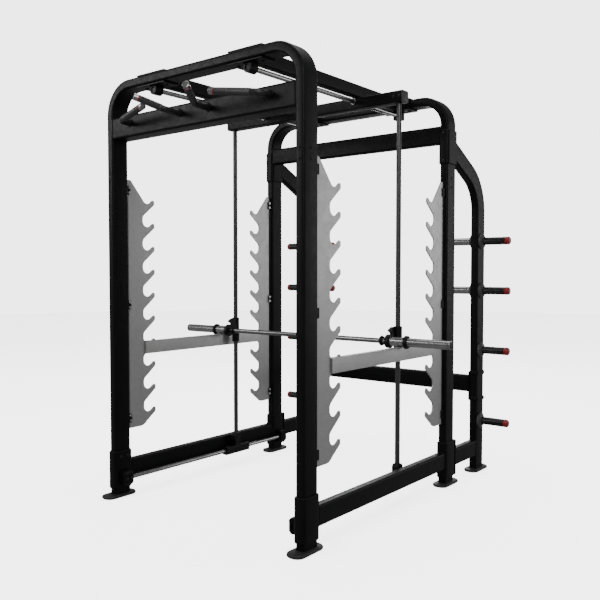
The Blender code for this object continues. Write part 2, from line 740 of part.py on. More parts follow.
def add_hook_plates():
    """One toothed plate on each post; the rear ones are the same piece turned round."""
    mesh = prism(hook_outline(), "X", -PLATE / 2, PLATE / 2)
    for label, side in SIDES:
        add_part(f"hook_plate_front_{label}", mesh, PLATE_GREY, (side * POST_X, FRONT_Y, 0))
        add_part(f"hook_plate_rear_{label}", mesh, PLATE_GREY, (side * POST_X, REAR_Y, 0), 180)


def add_safety_arms():
    """Upturned channels whose web is notched to hang in the hooks at both ends."""
    span = REAR_Y - FRONT_Y
    half = ARM_WIDTH / 2
    inside = half - ARM_WALL
    slot = ARM_SLOT_WIDTH / 2
    block = box((-half, half), (ARM_END, span - ARM_END), (ARM_LOW, ARM_HIGH))
    removals = [box((-inside, inside), (0, span), (ARM_LOW - PLATE, ARM_WEB))]
    for inner, outer in ((ARM_END - PLATE, ARM_BRIDGE[0]), (ARM_BRIDGE[1], ARM_SLOT_END)):
        for y_range in ((inner, outer), (span - outer, span - inner)):
            removals.append(box((-slot, slot), y_range, (ARM_WEB - PLATE, ARM_HIGH + PLATE)))
    mesh = cut(block, *removals)
    for label, side in SIDES:
        add_part(f"safety_arm_{label}", mesh, PLATE_GREY, (side * POST_X, FRONT_Y, 0))


# Pull-up handles --------------------------------------------------------------

def handle_mesh(corner, tip, side):
    """A bent tube from a flange on the pull-up beam, with a thicker grip to its tip."""
    root = Vector((corner[0], -TUBE_DEEP / 2 - GAP, corner[2]))
    points = [Vector(corner), Vector(tip)]
    for point in [root] + points:
        point.x *= side
    forward = (points[0] - root).normalized()
    onward = (points[1] - points[0]).normalized()
    bend_angle = forward.angle(onward)
    setback = HANDLE_BEND * math.tan(bend_angle / 2)
    bend_start = points[0] - forward * setback
    inside = (onward - forward * onward.dot(forward)).normalized()
    centre = bend_start + inside * HANDLE_BEND
    normal = forward.cross(onward).normalized()
    stations = [(root + forward * HANDLE_FLANGE / 2, inside, normal, HANDLE_RADIUS)]
    steps = 5
    for step in range(steps + 1):
        angle = bend_angle * step / steps
        outward = -(inside * math.cos(angle) - forward * math.sin(angle))
        stations.append((centre + outward * HANDLE_BEND, -outward, normal, HANDLE_RADIUS))
    last, across, _, _ = stations[-1]
    grip_start = last + onward * GRIP_START
    for point, radius in ((grip_start, HANDLE_RADIUS), (grip_start, HANDLE_GRIP_RADIUS),
                          (points[1], HANDLE_GRIP_RADIUS)):
        stations.append((point, across, normal, radius))
    shape = bmesh.new()
    rings = []
    for point, first, second, radius in stations:
        ring = []
        for index in range(HANDLE_SIDES):
            angle = 2 * math.pi * index / HANDLE_SIDES
            offset = first * math.cos(angle) + second * math.sin(angle)
            ring.append(shape.verts.new(point + offset * radius))
        rings.append(ring)
    for first, second in zip(rings, rings[1:]):
        bridge(shape, first, second)
    shape.faces.new(rings[0])
    shape.faces.new(rings[-1])
    tube = finished(shape, "handle")
    flange = turned([(HANDLE_FLANGE_RADIUS, -HANDLE_FLANGE), (HANDLE_FLANGE_RADIUS, 0)], "Y",
                    sides=HANDLE_SIDES)
    return joined(tube, moved(flange, root))


def add_handles():
    """An inner and an outer handle on each half of the pull-up beam."""
    for kind, (corner, tip) in (("inner", INNER_HANDLE), ("outer", OUTER_HANDLE)):
        for label, side in SIDES:
            mesh = handle_mesh(corner, tip, side)
            add_part(f"pull_up_handle_{kind}_{label}", mesh, FRAME_BLACK, (0, FRONT_Y, 0))


# Rails, carriage and guide rods -----------------------------------------------

def add_rails():
    """Ground round rails: two above and two below, fixed to the frame."""
    span = REAR_Y - FRONT_Y
    reach = TOP_BLOCK_HALF - RAIL_INSET
    upper = turned([(RAIL_RADIUS, -reach), (RAIL_RADIUS, span + reach)], "Y")
    reach = RAIL_BLOCK_HALF - RAIL_INSET
    lower = turned([(RAIL_RADIUS, -reach), (RAIL_RADIUS, span + reach)], "Y")
    for label, side in SIDES:
        add_part(f"upper_rail_{label}", upper, CHROME, (side * UPPER_RAIL_X, FRONT_Y, UPPER_RAIL_Z))
        add_part(f"lower_rail_{label}", lower, CHROME, (side * LOWER_RAIL_X, FRONT_Y, LOWER_RAIL_Z))


def carriage_beam_mesh():
    """A hollow beam with bores for the rail bearings, and for the rods in its floor."""
    tall = CARRIAGE_HIGH - CARRIAGE_LOW
    middle = (CARRIAGE_HIGH + CARRIAGE_LOW) / 2
    outer = rectangle(CARRIAGE_DEEP, tall, CARRIAGE_CORNER)
    inner = rectangle(CARRIAGE_DEEP - 2 * TUBE_WALL, tall - 2 * TUBE_WALL, CARRIAGE_CORNER / 2)
    stations = [(Vector((x, 0, middle)), Vector((0, 1, 0)), Vector((0, 0, 1)))
                for x in (-CARRIAGE_HALF, CARRIAGE_HALF)]
    beam = swept(stations, outer, inner)
    bores = []
    for _, side in SIDES:
        bore = turned([(BEARING_RADIUS + GAP, -0.1), (BEARING_RADIUS + GAP, 0.1)], "Y")
        bores.append(moved(bore, (side * UPPER_RAIL_X, 0, UPPER_RAIL_Z)))
        hole = turned([(ROD_RADIUS + GAP, CARRIAGE_LOW - 0.01), (ROD_RADIUS + GAP, middle)], "Z")
        bores.append(moved(hole, (side * LOWER_RAIL_X, 0, 0)))
    return cut(beam, *bores)


def add_carriage(slide):
    """Everything that rolls front to rear with the upper crossbeam."""
    add_part("carriage_beam", carriage_beam_mesh(), FRAME_BLACK, (0, ROD_Y, 0), parent=slide)
    front = -CARRIAGE_DEEP / 2 - GAP
    bore = RAIL_RADIUS + GAP
    bearing = turned([(bore, -BEARING_HALF), (bore, BEARING_HALF),
                      (BEARING_RADIUS, BEARING_HALF), (BEARING_RADIUS, front),
                      (BEARING_FLANGE, front), (BEARING_FLANGE, -BEARING_HALF)], "Y", bored=True)
    cap = end_cap_mesh()
    rod = turned([(ROD_RADIUS, ROD_LOW), (ROD_RADIUS, ROD_HIGH)], "Z")
    shoe = lower_carriage_mesh()
    for label, side in SIDES:
        rail_place = (side * UPPER_RAIL_X, ROD_Y, UPPER_RAIL_Z)
        add_part(f"upper_bearing_{label}", bearing, BEARING_STEEL, rail_place, parent=slide)
        turn = 0 if side > 0 else 180
        add_part(f"carriage_cap_{label}", cap, CAP_GREY, (0, ROD_Y, 0), turn, slide)
        add_part(f"guide_rod_{label}", rod, ROD_GREY, (side * LOWER_RAIL_X, ROD_Y, 0), parent=slide)
        add_part(f"lower_carriage_{label}", shoe, HOUSING_BLACK,
                 (side * LOWER_RAIL_X, ROD_Y, 0), parent=slide)


def end_cap_mesh():
    """A plastic cap with a plug inside the carriage beam's end."""
    tall = CARRIAGE_HIGH - CARRIAGE_LOW
    middle = (CARRIAGE_HIGH + CARRIAGE_LOW) / 2
    face = CARRIAGE_HALF + GAP
    plate = prism(rectangle(CARRIAGE_DEEP, tall, CARRIAGE_CORNER), "X", face, face + CAP_THICKNESS)
    inset = 2 * (TUBE_WALL + GAP)
    plug = prism(rectangle(CARRIAGE_DEEP - inset, tall - inset, CARRIAGE_CORNER / 2), "X",
                 face - CAP_PLUG, face + CAP_THICKNESS / 2)
    return moved(joined(plate, plug), (0, 0, middle))


def lower_carriage_mesh():
    """A shoe round the lower rail with a necked clamp that holds the guide rod's foot."""
    half = SHOE_LENGTH / 2
    shoe_outline = rectangle(SHOE_WIDTH, SHOE_HIGH - SHOE_LOW, SHOE_CHAMFER, 1)
    shoe = moved(prism(shoe_outline, "Y", -half, half), (0, 0, (SHOE_LOW + SHOE_HIGH) / 2))
    rear_side = [(NECK_LENGTH / 2, SHOE_HIGH - SHOE_CHAMFER), (NECK_LENGTH / 2, NECK_HIGH),
                 (CLAMP_LENGTH / 2, CLAMP_LOW), (CLAMP_LENGTH / 2, PEDESTAL_HIGH - CLAMP_CHAMFER),
                 (CLAMP_TOP_LENGTH / 2, PEDESTAL_HIGH)]
    front_side = [(-y, z) for y, z in reversed(rear_side)]
    pedestal = prism(rear_side + front_side, "X", -PEDESTAL_WIDTH / 2, PEDESTAL_WIDTH / 2)
    rail_bore = turned([(RAIL_RADIUS + GAP, -0.2), (RAIL_RADIUS + GAP, 0.2)], "Y")
    rod_bore = turned([(ROD_RADIUS + GAP, ROD_LOW - GAP), (ROD_RADIUS + GAP, 0.3)], "Z")
    return cut(joined(shoe, pedestal), moved(rail_bore, (0, 0, LOWER_RAIL_Z)), rod_bore)


# Bar --------------------------------------------------------------------------

def rod_housing_mesh(side):
    """The tube on a guide rod, the bar's bearing ring in front of it and the lug above."""
    offset = BAR_Y - ROD_Y
    bore = ROD_RADIUS + GAP
    tube = turned([(HOUSING_RADIUS, HOUSING_LOW), (HOUSING_RADIUS, HOUSING_HIGH)], "Z")
    low, high = BEARING_RING[0] - LOWER_RAIL_X, BEARING_RING[1] - LOWER_RAIL_X
    ring = moved(turned([(RING_RADIUS, low), (RING_RADIUS, high)]), (0, offset, BAR_Z))
    web = box((low + WEB_INSET, high - WEB_INSET), (offset + BAR_RADIUS, 0),
              (BAR_Z - WEB_DROP, WEB_TOP))
    root, shoulder = -HOUSING_RADIUS / 2, offset + LUG_SHOULDER
    lug = prism([(root, LUG_HIGH), (root, LUG_LOW), (shoulder, LUG_LOW),
                 (offset - LUG_TIP, LUG_TIP_Z), (shoulder, LUG_HIGH)], "X", *LUG_X)
    rod_bore = turned([(bore, HOUSING_LOW - 0.1), (bore, HOUSING_HIGH + 0.1)], "Z")
    bar_bore = turned([(BAR_RADIUS + GAP, -0.1), (BAR_RADIUS + GAP, 0.1)])
    mesh = cut(joined(tube, ring, web, lug), rod_bore, moved(bar_bore, (0, offset, BAR_Z)))
    if side < 0:
        mesh.transform(Matrix.Diagonal((-1, 1, 1, 1)))
        mesh.flip_normals()
    return mesh


def add_bar(lift, axle):
    """The housings that climb the rods, and the bar that turns in them."""
    for label, side in SIDES:
        add_part(f"rod_housing_{label}", rod_housing_mesh(side), HOUSING_BLACK,
                 (side * LOWER_RAIL_X, ROD_Y, 0), parent=lift)
    centre = (0, BAR_Y, BAR_Z)
    edge = BAR_EDGE
    shaft = turned([(BAR_RADIUS - edge, -BAR_HALF), (BAR_RADIUS, -BAR_HALF + edge),
                    (BAR_RADIUS, BAR_HALF - edge), (BAR_RADIUS - edge, BAR_HALF)])
    add_part("bar_shaft", shaft, CHROME, centre, parent=axle)
    bore = BAR_RADIUS + GAP
    clamp = turned([(bore, CLAMP_COLLAR[0]), (bore, CLAMP_COLLAR[1]),
                    (CLAMP_RADIUS, CLAMP_COLLAR[1]), (CLAMP_RADIUS, CLAMP_COLLAR[0])], bored=True)
    start, end = RACKING_COLLAR
    racking = turned([(bore, start), (bore, end), (RACKING_RADIUS - edge, end),
                      (RACKING_RADIUS, end - edge), (RACKING_RADIUS, start + edge),
                      (RACKING_RADIUS - edge, start)], bored=True)
    for label, side in SIDES:
        turn = 0 if side > 0 else 180
        add_part(f"clamp_collar_{label}", clamp, HOUSING_BLACK, centre, turn, axle)
        add_part(f"racking_collar_{label}", racking, CHROME, centre, turn, axle)
        add_part(f"plate_sleeve_{label}", sleeve_mesh(), CHROME, centre, turn, axle)


def sleeve_mesh():
    """A flanged sleeve that turns on the end of the shaft, closed at its outer end."""
    start, end = SLEEVE
    flange_end = start + SLEEVE_FLANGE
    edge = SLEEVE_EDGE
    bore = BAR_RADIUS + GAP
    profile = [(bore, BAR_HALF + GAP), (bore, start), (SLEEVE_FLANGE_RADIUS - edge, start),
               (SLEEVE_FLANGE_RADIUS, start + edge), (SLEEVE_FLANGE_RADIUS, flange_end - edge),
               (SLEEVE_FLANGE_RADIUS - edge, flange_end), (SLEEVE_RADIUS, flange_end),
               (SLEEVE_RADIUS, end - edge), (SLEEVE_RADIUS - edge, end)]
    return turned(profile)


def build():
    """Make the frame first, then the three nested moving groups."""
    clear_scene()
    add_arches()
    add_feet()
    add_side_beams()
    add_storage_beams()
    add_crossbeams()
    add_top_beams()
    add_storage_uprights()
    add_storage_pegs()
    add_hook_plates()
    add_safety_arms()
    add_handles()
    add_rails()
    slide = pivot("carriage_slide", (0, ROD_Y, UPPER_RAIL_Z))
    lift = pivot("bar_lift_slide", (0, ROD_Y, BAR_Z), slide)
    axle = pivot("bar_axis", (0, BAR_Y, BAR_Z), lift)
    add_carriage(slide)
    add_bar(lift, axle)


build()
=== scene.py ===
import math

import bmesh
import bpy
from mathutils import Matrix, Vector


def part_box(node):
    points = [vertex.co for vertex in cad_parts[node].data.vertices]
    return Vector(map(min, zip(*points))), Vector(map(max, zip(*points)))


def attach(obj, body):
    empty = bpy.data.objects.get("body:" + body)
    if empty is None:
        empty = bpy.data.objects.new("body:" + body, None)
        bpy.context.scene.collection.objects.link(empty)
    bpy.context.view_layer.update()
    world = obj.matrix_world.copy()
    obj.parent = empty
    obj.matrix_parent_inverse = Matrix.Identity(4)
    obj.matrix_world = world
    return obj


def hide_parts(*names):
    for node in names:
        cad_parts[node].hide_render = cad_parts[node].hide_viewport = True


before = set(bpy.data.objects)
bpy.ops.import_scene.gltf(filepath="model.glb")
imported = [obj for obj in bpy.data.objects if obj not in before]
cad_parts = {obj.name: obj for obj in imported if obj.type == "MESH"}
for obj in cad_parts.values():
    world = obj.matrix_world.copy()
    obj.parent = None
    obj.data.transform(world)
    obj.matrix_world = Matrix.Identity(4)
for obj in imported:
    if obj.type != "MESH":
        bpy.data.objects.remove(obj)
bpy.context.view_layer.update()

# Sizes that the CAD boxes don't give, in metres.
TUBE_NARROW = 0.050
TUBE_DEEP = 0.106
TUBE_CORNER = 0.012
PLATE = 0.008
GAP = 0.0003                # between touching CAD bodies
ARCH_BEND = 0.155
PLUG_HEIGHTS = (1.770, 1.820)
SIDE_BEAM = (0.100, 0.200)
SIDE_BEAM_LAP = 0.006       # how far a beam's tube runs into its saddle
STORAGE_BEAM = (0.098, 0.200)
STORAGE_CROSSBEAM = (0.505, 0.611)
STRAP_HEIGHT = 0.028
TOP_BEAM_LOW = 2.2545
TOP_SADDLE_REACH = 0.045
RAIL_BORE = 0.0131          # bore radius of what holds or rides a rail
SHAFT_BORE = 0.0143         # bore radius of what rides the guide rods or the bar
PEG_RADIUS = 0.024
PEG_CAP = 0.027             # hidden end of a peg under its red cap
PLATE_EDGE = 0.068          # straight edge of a hook plate, from the post's axis
WELD_RADIUS = 0.0026
WELD_STEP = 0.0022

# Fineness of the curves.
ROUND = 56                  # sides of a turned piece
BEND_STEPS = 24
CORNER_STEPS = 6
SIDES = (("left", -1), ("right", 1))
LABELS = ("left", "right")

# Layout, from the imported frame.
front_low, front_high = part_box("front_arch")
POST_X = front_high.x - TUBE_NARROW / 2
FRONT_Y = front_low.y + TUBE_DEEP / 2
REAR_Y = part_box("rear_arch")[1].y - TUBE_DEEP / 2
STORE_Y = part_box("storage_upright_right")[1].y - TUBE_DEEP / 2
ARCH_TOP = front_high.z
WEB = TUBE_DEEP / 2 + GAP + PLATE       # outer face of a saddle, from the post's axis
ROWS = (("front", FRONT_Y, 1), ("rear", REAR_Y, -1))


def measured(node):
    """Lower corner, upper corner and centre of a CAD node's box."""
    low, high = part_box(node)
    return low, high, (low + high) / 2


def middle(node):
    """Centre of a CAD node's box."""
    return measured(node)[2]


# Materials --------------------------------------------------------------------

def linear(colour):
    """A linear colour with its alpha, from one grey level or three levels."""
    levels = colour if isinstance(colour, tuple) else (colour, colour, colour)
    return (*levels, 1.0)


def shader_of(name, colour, roughness, metallic=0.0, **sockets):
    """A Principled material with its even values set on the shader's own sockets."""
    material = bpy.data.materials.new(name)
    material.use_nodes = True
    shader = material.node_tree.nodes["Principled BSDF"]
    shader.inputs["Base Color"].default_value = linear(colour)
    shader.inputs["Roughness"].default_value = roughness
    shader.inputs["Metallic"].default_value = metallic
    for label, value in sockets.items():
        shader.inputs[label.replace("_", " ")].default_value = value
    return material, material.node_tree, shader


def noise(tree, scale, detail=3.0, stretch=None):
    """A noise texture in the piece's own coordinates, which may be stretched."""
    coordinates = tree.nodes.new("ShaderNodeTexCoord")
    texture = tree.nodes.new("ShaderNodeTexNoise")
    texture.inputs["Scale"].default_value = scale
    texture.inputs["Detail"].default_value = detail
    source = coordinates.outputs["Object"]
    if stretch:
        mapping = tree.nodes.new("ShaderNodeMapping")
        mapping.inputs["Scale"].default_value = stretch
        tree.links.new(source, mapping.inputs["Vector"])
        source = mapping.outputs["Vector"]
    tree.links.new(source, texture.inputs["Vector"])
    return texture.outputs["Fac"]


NOISE_LOW, NOISE_HIGH = 0.3, 0.7        # where nearly all of a noise texture's values lie


def ramp(tree, value, low, high):
    """A two-colour ramp over a noise value."""
    node = tree.nodes.new("ShaderNodeValToRGB")
    node.color_ramp.elements[0].position = NOISE_LOW
    node.color_ramp.elements[1].position = NOISE_HIGH
    node.color_ramp.elements[0].color = linear(low)
    node.color_ramp.elements[1].color = linear(high)
    tree.links.new(value, node.inputs["Fac"])
    return node.outputs["Color"]


def spread(tree, value, low, high):
    """A noise value mapped onto low to high."""
    node = tree.nodes.new("ShaderNodeMapRange")
    node.inputs["From Min"].default_value = NOISE_LOW
    node.inputs["From Max"].default_value = NOISE_HIGH
    node.inputs["To Min"].default_value = low
    node.inputs["To Max"].default_value = high
    tree.links.new(value, node.inputs["Value"])
    return node.outputs["Result"]


def bump(tree, shader, height, strength, distance):
    """Surface relief from a height value."""
    node = tree.nodes.new("ShaderNodeBump")
    node.inputs["Strength"].default_value = strength
    node.inputs["Distance"].default_value = distance
    tree.links.new(height, node.inputs["Height"])
    tree.links.new(node.outputs["Normal"], shader.inputs["Normal"])


def coated(name, dark, light, rough, grain=900.0, relief=0.25, specular=0.35):
    """Powder coat: fine orange-peel relief with a faint unevenness in colour and gloss."""
    material, tree, shader = shader_of(name, light, rough[0], Specular_IOR_Level=specular)
    broad = noise(tree, 9.0, 4.0)
    tree.links.new(ramp(tree, broad, dark, light), shader.inputs["Base Color"])
    tree.links.new(spread(tree, noise(tree, 55.0), *rough), shader.inputs["Roughness"])
    bump(tree, shader, noise(tree, grain, 2.0), relief, 0.0004)
    return material


def metal(name, dark, light, rough, stretch, metallic=1.0, relief=0.08):
    """Bare or plated metal: streaks along the grain in its colour, gloss and relief."""
    material, tree, shader = shader_of(name, light, rough[0], metallic)
    streaks = noise(tree, 60.0, 4.0, stretch)
    tree.links.new(ramp(tree, streaks, dark, light), shader.inputs["Base Color"])
    smudges = noise(tree, 24.0, 5.0)
    tree.links.new(spread(tree, smudges, *rough), shader.inputs["Roughness"])
    bump(tree, shader, streaks, relief, 0.0002)
    return material


def moulded(name, dark, light, rough, grain, relief):
    """Moulded plastic or rubber with a fine grain."""
    material, tree, shader = shader_of(name, light, rough[0])
    tree.links.new(ramp(tree, noise(tree, 30.0, 3.0), dark, light), shader.inputs["Base Color"])
    tree.links.new(spread(tree, noise(tree, 90.0), *rough), shader.inputs["Roughness"])
    bump(tree, shader, noise(tree, grain, 2.0), relief, 0.0005)
    return material


FINISHES = {
    "frame_black": coated("satin_black_coat", 0.0027, 0.0045, (0.38, 0.48), specular=0.12),
    "handle_grey": coated("satin_handle_coat", 0.012, 0.018, (0.34, 0.42)),
    "foot_grey": coated("dark_grey_coat", 0.019, 0.027, (0.42, 0.54), 600.0, 0.35, 0.30),
    "plate_grey": metal("satin_grey_plate", 0.33, 0.39, (0.34, 0.44), (0.4, 0.4, 6.0), 0.55, 0.05),
    "rod_steel": metal("dark_ground_rod", 0.068, 0.085, (0.32, 0.38), (1.0, 1.0, 14.0), 0.8, 0.006),
    "chrome": metal("polished_chrome", 0.29, 0.34, (0.19, 0.24), (3.0, 1.0, 1.0), relief=0.004),
    "bar_steel": metal("polished_bar", 0.17, 0.21, (0.27, 0.32), (3.0, 1.0, 1.0), relief=0.004),
    "bearing_steel": metal("ground_steel", 0.12, 0.16, (0.28, 0.36), (1.0, 12.0, 1.0), relief=0.01),
    "cap_grey": moulded("grey_plastic", 0.022, 0.029, (0.45, 0.55), 700.0, 0.05),
    "ring_grey": moulded("peg_ring_grey", 0.040, 0.052, (0.42, 0.50), 700.0, 0.05),
    "housing_black": coated("black_casting", 0.0030, 0.0050, (0.40, 0.52), 500.0, 0.45, 0.2),
    "red_plastic": moulded("red_plastic", (0.24, 0.006, 0.009), (0.30, 0.009, 0.013), (0.38, 0.44),
                           700.0, 0.03),
    "grip_rubber": moulded("grip_rubber", 0.026, 0.036, (0.38, 0.50), 1500.0, 0.5),
    "zinc": metal("zinc_plated_steel", 0.34, 0.46, (0.26, 0.36), (1.0, 1.0, 1.0)),
    # Chrome darkened to near black: a painted dark reflection on the pegs' outer ends.
    "peg_painted_dark_reflection": metal("chrome_painted_dark_reflection", 0.040, 0.052, (0.24, 0.30), (3.0, 1.0, 1.0), 0.85, 0.004),
    "bolt_black": metal("black_oxide", 0.016, 0.028, (0.34, 0.46), (1.0, 1.0, 1.0), 0.7),
}


# Shapes -----------------------------------------------------------------------

def arc(centre, radius, start, end, steps):
    """Points along an arc, both ends included; angles in degrees."""
    points = []
    for step in range(steps + 1):
        angle = math.radians(start + (end - start) * step / steps)
        points.append((centre[0] + radius * math.cos(angle), centre[1] + radius * math.sin(angle)))
    return points


def rectangle(width, height, corner, steps=CORNER_STEPS):
    """Outline of a rectangle about (0, 0), with rounded corners."""
    points = []
    for turn in range(4):
        centre_a = (width / 2 - corner) * (1 if turn in (0, 3) else -1)
        centre_b = (height / 2 - corner) * (1 if turn in (0, 1) else -1)
        points += arc((centre_a, centre_b), corner, 90 * turn, 90 * turn + 90, steps)
    return points


def stacked(width, depth, corner, levels, centre, steps=CORNER_STEPS):
    """Level rounded outlines about a centre, for (growth, height) pairs."""
    rings = []
    for grow, z in levels:
        ring = rectangle(width + 2 * grow, depth + 2 * grow, corner + grow, steps)
        rings.append([(centre[0] + a, centre[1] + b, z) for a, b in ring])
    return rings


def mesh_from(shape):
    """A mesh from a bmesh, with its faces pointing out."""
    bmesh.ops.recalc_face_normals(shape, faces=shape.faces)
    mesh = bpy.data.meshes.new("shape")
    shape.to_mesh(mesh)
    shape.free()
    return mesh


def bridge(shape, first, second):
    """Four-sided faces between two rings of vertices."""
    count = len(first)
    for index in range(count):
        after = (index + 1) % count
        shape.faces.new((first[index], first[after], second[after], second[index]))


def lofted(rings, closed=False):
    """A skin over rings of points; the ends are capped unless the rings close on themselves."""
    shape = bmesh.new()
    rings = [[shape.verts.new(point) for point in ring] for ring in rings]
    for first, second in zip(rings, rings[1:]):
        bridge(shape, first, second)
    if closed:
        bridge(shape, rings[-1], rings[0])
    else:
        shape.faces.new(rings[0])
        shape.faces.new(rings[-1])
    return mesh_from(shape)


PLACES = {"X": lambda a, b, along: (along, a, b),
          "Y": lambda a, b, along: (a, along, b),
          "Z": lambda a, b, along: (a, b, along)}


def prism(outline, axis, start, end):
    """A flat outline extruded along X, Y or Z."""
    place = PLACES[axis]
    return lofted([[place(a, b, along) for a, b in outline] for along in (start, end)])


def box(x_range, y_range, z_range):
    """A plain block between two limits on each axis."""
    outline = [(x_range[0], y_range[0]), (x_range[1], y_range[0]),
               (x_range[1], y_range[1]), (x_range[0], y_range[1])]
    return prism(outline, "Z", *z_range)


def turned(profile, axis="X", bored=False, sides=ROUND):
    """Revolve (radius, distance) points; a bored shape closes on its first point."""
    place = PLACES[axis]
    rings = []
    for radius, along in profile:
        rings.append([place(radius * math.cos(2 * math.pi * side / sides),
                            radius * math.sin(2 * math.pi * side / sides), along)
                      for side in range(sides)])
    return lofted(rings, bored)


def swept(stations, outline):
    """Carry an outline along stations of (point, first axis, second axis)."""
    return lofted([[point + first * a + second * b for a, b in outline]
                   for point, first, second in stations])


def rod(radius, start, end, chamfer, axis="X"):
    """A round bar with chamfered ends."""
    return turned([(radius - chamfer, start), (radius, start + chamfer), (radius, end - chamfer),
                   (radius - chamfer, end)], axis)


def sleeve_ring(bore, radius, ends, axis):
    """A plain ring between two distances along an axis."""
    start, end = sorted(ends)
    return turned([(bore, start), (bore, end), (radius, end), (radius, start)], axis, bored=True)


def drill(radius, start, end, axis="X"):
    """A round tool for a Boolean."""
    return turned([(radius, start), (radius, end)], axis)


def rounded_end(radius, end, fillet, angles):
    """Profile of a rounded rim, from the side of a turned piece to its end."""
    return [(radius - fillet * (1 - math.cos(t)), end - fillet + fillet * math.sin(t))
            for t in map(math.radians, angles)]


def hexagon(radius):
    """Corners of a hexagon about (0, 0)."""
    return [(radius * math.cos(t), radius * math.sin(t)) for t in map(math.radians, range(0, 360, 60))]


def moved(mesh, offset):
    """Shift a mesh and return it."""
    mesh.transform(Matrix.Translation(Vector(offset)))
    return mesh


def turned_round(mesh):
    """Turn a mesh half-way about Z."""
    mesh.transform(Matrix.Rotation(math.pi, 4, "Z"))
    return mesh


def on_side(mesh, side):
    """The mesh itself on the right, its mirror image across X = 0 on the left."""
    if side < 0:
        mesh = mesh.copy()
        mesh.transform(Matrix.Diagonal((-1, 1, 1, 1)))
        mesh.flip_normals()
    return mesh


def combined(base, tools, operation):
    """Apply each tool mesh to the base with an exact Boolean."""
    holder = bpy.data.objects.new("holder", base)
    bpy.context.scene.collection.objects.link(holder)
    helpers = []
    for tool in tools:
        helper = bpy.data.objects.new("helper", tool)
        bpy.context.scene.collection.objects.link(helper)
        helpers.append(helper)
        modifier = holder.modifiers.new("cut", "BOOLEAN")
        modifier.operation = operation
        modifier.solver = "EXACT"
        modifier.object = helper
    graph = bpy.context.evaluated_depsgraph_get()
    result = bpy.data.meshes.new_from_object(holder.evaluated_get(graph))
    for item in helpers + [holder]:
        bpy.data.objects.remove(item)
    return result


def joined(base, *tools):
    """One body from several overlapping ones."""
    return combined(base, tools, "UNION")


def cut(base, *tools):
    """The base with the tools taken away."""
    return combined(base, tools, "DIFFERENCE")


def together(*meshes):
    """Several meshes in one, without a Boolean."""
    shape = bmesh.new()
    for mesh in meshes:
        shape.from_mesh(mesh)
    result = bpy.data.meshes.new("group")
    shape.to_mesh(result)
    shape.free()
    return result


def piece(name, mesh, finish="frame_black", body="frame", stands_for=(), bevel=0.0, sharp=35):
    """A finished piece: its material, its edges, the body it rides on and what it replaces."""
    made = bpy.data.objects.new(name, mesh)
    bpy.context.scene.collection.objects.link(made)
    mesh.materials.clear()
    mesh.materials.append(FINISHES[finish])
    mesh.shade_smooth()
    if bevel:
        modifier = made.modifiers.new("edges", "BEVEL")
        modifier.width = bevel
        modifier.segments = 2
        modifier.limit_method = "ANGLE"
        modifier.angle_limit = math.radians(sharp)
        modifier.harden_normals = True
    else:
        mesh.set_sharp_from_angle(angle=math.radians(sharp))
    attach(made, body)
    if stands_for:
        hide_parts(*stands_for)


# Fasteners --------------------------------------------------------------------

def dome_bolt(radius):
    """A button head on a washer, standing along +X from (0, 0, 0), with a hex socket."""
    head = radius * 0.55
    washer, seat = radius * 1.35, 0.0015
    profile = [(washer, 0.0), (washer, 0.0010), (washer - 0.0005, seat), (radius, seat)]
    profile += [(radius * math.cos(t), seat + head * math.sin(t))
                for t in map(math.radians, (12, 26, 40, 54, 66))]
    body = turned(profile, sides=28)
    return cut(body, prism(hexagon(radius * 0.36), "X", seat + head * 0.3, head * 2 + 0.01))


def hex_bolt(across, height):
    """A hex head with a chamfered top on a washer, standing along +X."""
    washer, seat = across * 0.68, 0.0015
    disc = turned([(washer, 0), (washer, 0.0012), (across * 0.64, 0.0017)], sides=32)
    corner = across / math.sqrt(3)
    rings = []
    for radius, along in ((corner, seat), (corner, height - 0.0015), (corner * 0.86, height)):
        rings.append([(along, a, b) for a, b in hexagon(radius)])
    return together(disc, lofted(rings))


def placed(mesh, point, heading):
    """A copy of a fastener whose +X axis points along heading at a point."""
    copy = mesh.copy()
    turn = Vector(heading).to_track_quat("X", "Z").to_matrix().to_4x4()
    copy.transform(Matrix.Translation(Vector(point)) @ turn)
    return copy


DOME = dome_bolt(0.009)
SMALL_DOME = dome_bolt(0.0065)
PLUG = dome_bolt(0.0045)
HEX = hex_bolt(0.013, 0.0060)


def bolts(name, mesh, places, body="frame", finish="bolt_black"):
    """A group of like fasteners in one piece; places are (point, heading)."""
    piece(name, together(*[placed(mesh, *place) for place in places]), finish, body)


def weld(name, points):
    """A painted weld bead with its ripples, along a closed loop of points."""
    loop = [Vector(point) for point in points]
    count = len(loop)
    lengths = [(loop[(i + 1) % count] - loop[i]).length for i in range(count)]
    total = sum(lengths)
    steps = int(total / WELD_STEP)
    rings = []
    for step in range(steps):
        along = total * step / steps
        index = 0
        while along > lengths[index]:
            along -= lengths[index]
            index += 1
        start, end = loop[index], loop[(index + 1) % count]
        forward = (end - start).normalized()
        centre = start.lerp(end, along / lengths[index])
        swell = WELD_RADIUS * (1.0 + 0.10 * math.sin(step * math.pi / 1.5))
        side = forward.orthogonal().normalized() if abs(forward.x) > 0.9 else Vector((1, 0, 0))
        other = forward.cross(side).normalized()
        side = other.cross(forward).normalized()
        rings.append([centre + (side * math.cos(a) + other * math.sin(a)) * swell
                      for a in (math.radians(45 * k) for k in range(8))])
    piece(name, lofted(rings, closed=True))


# Frame ------------------------------------------------------------------------

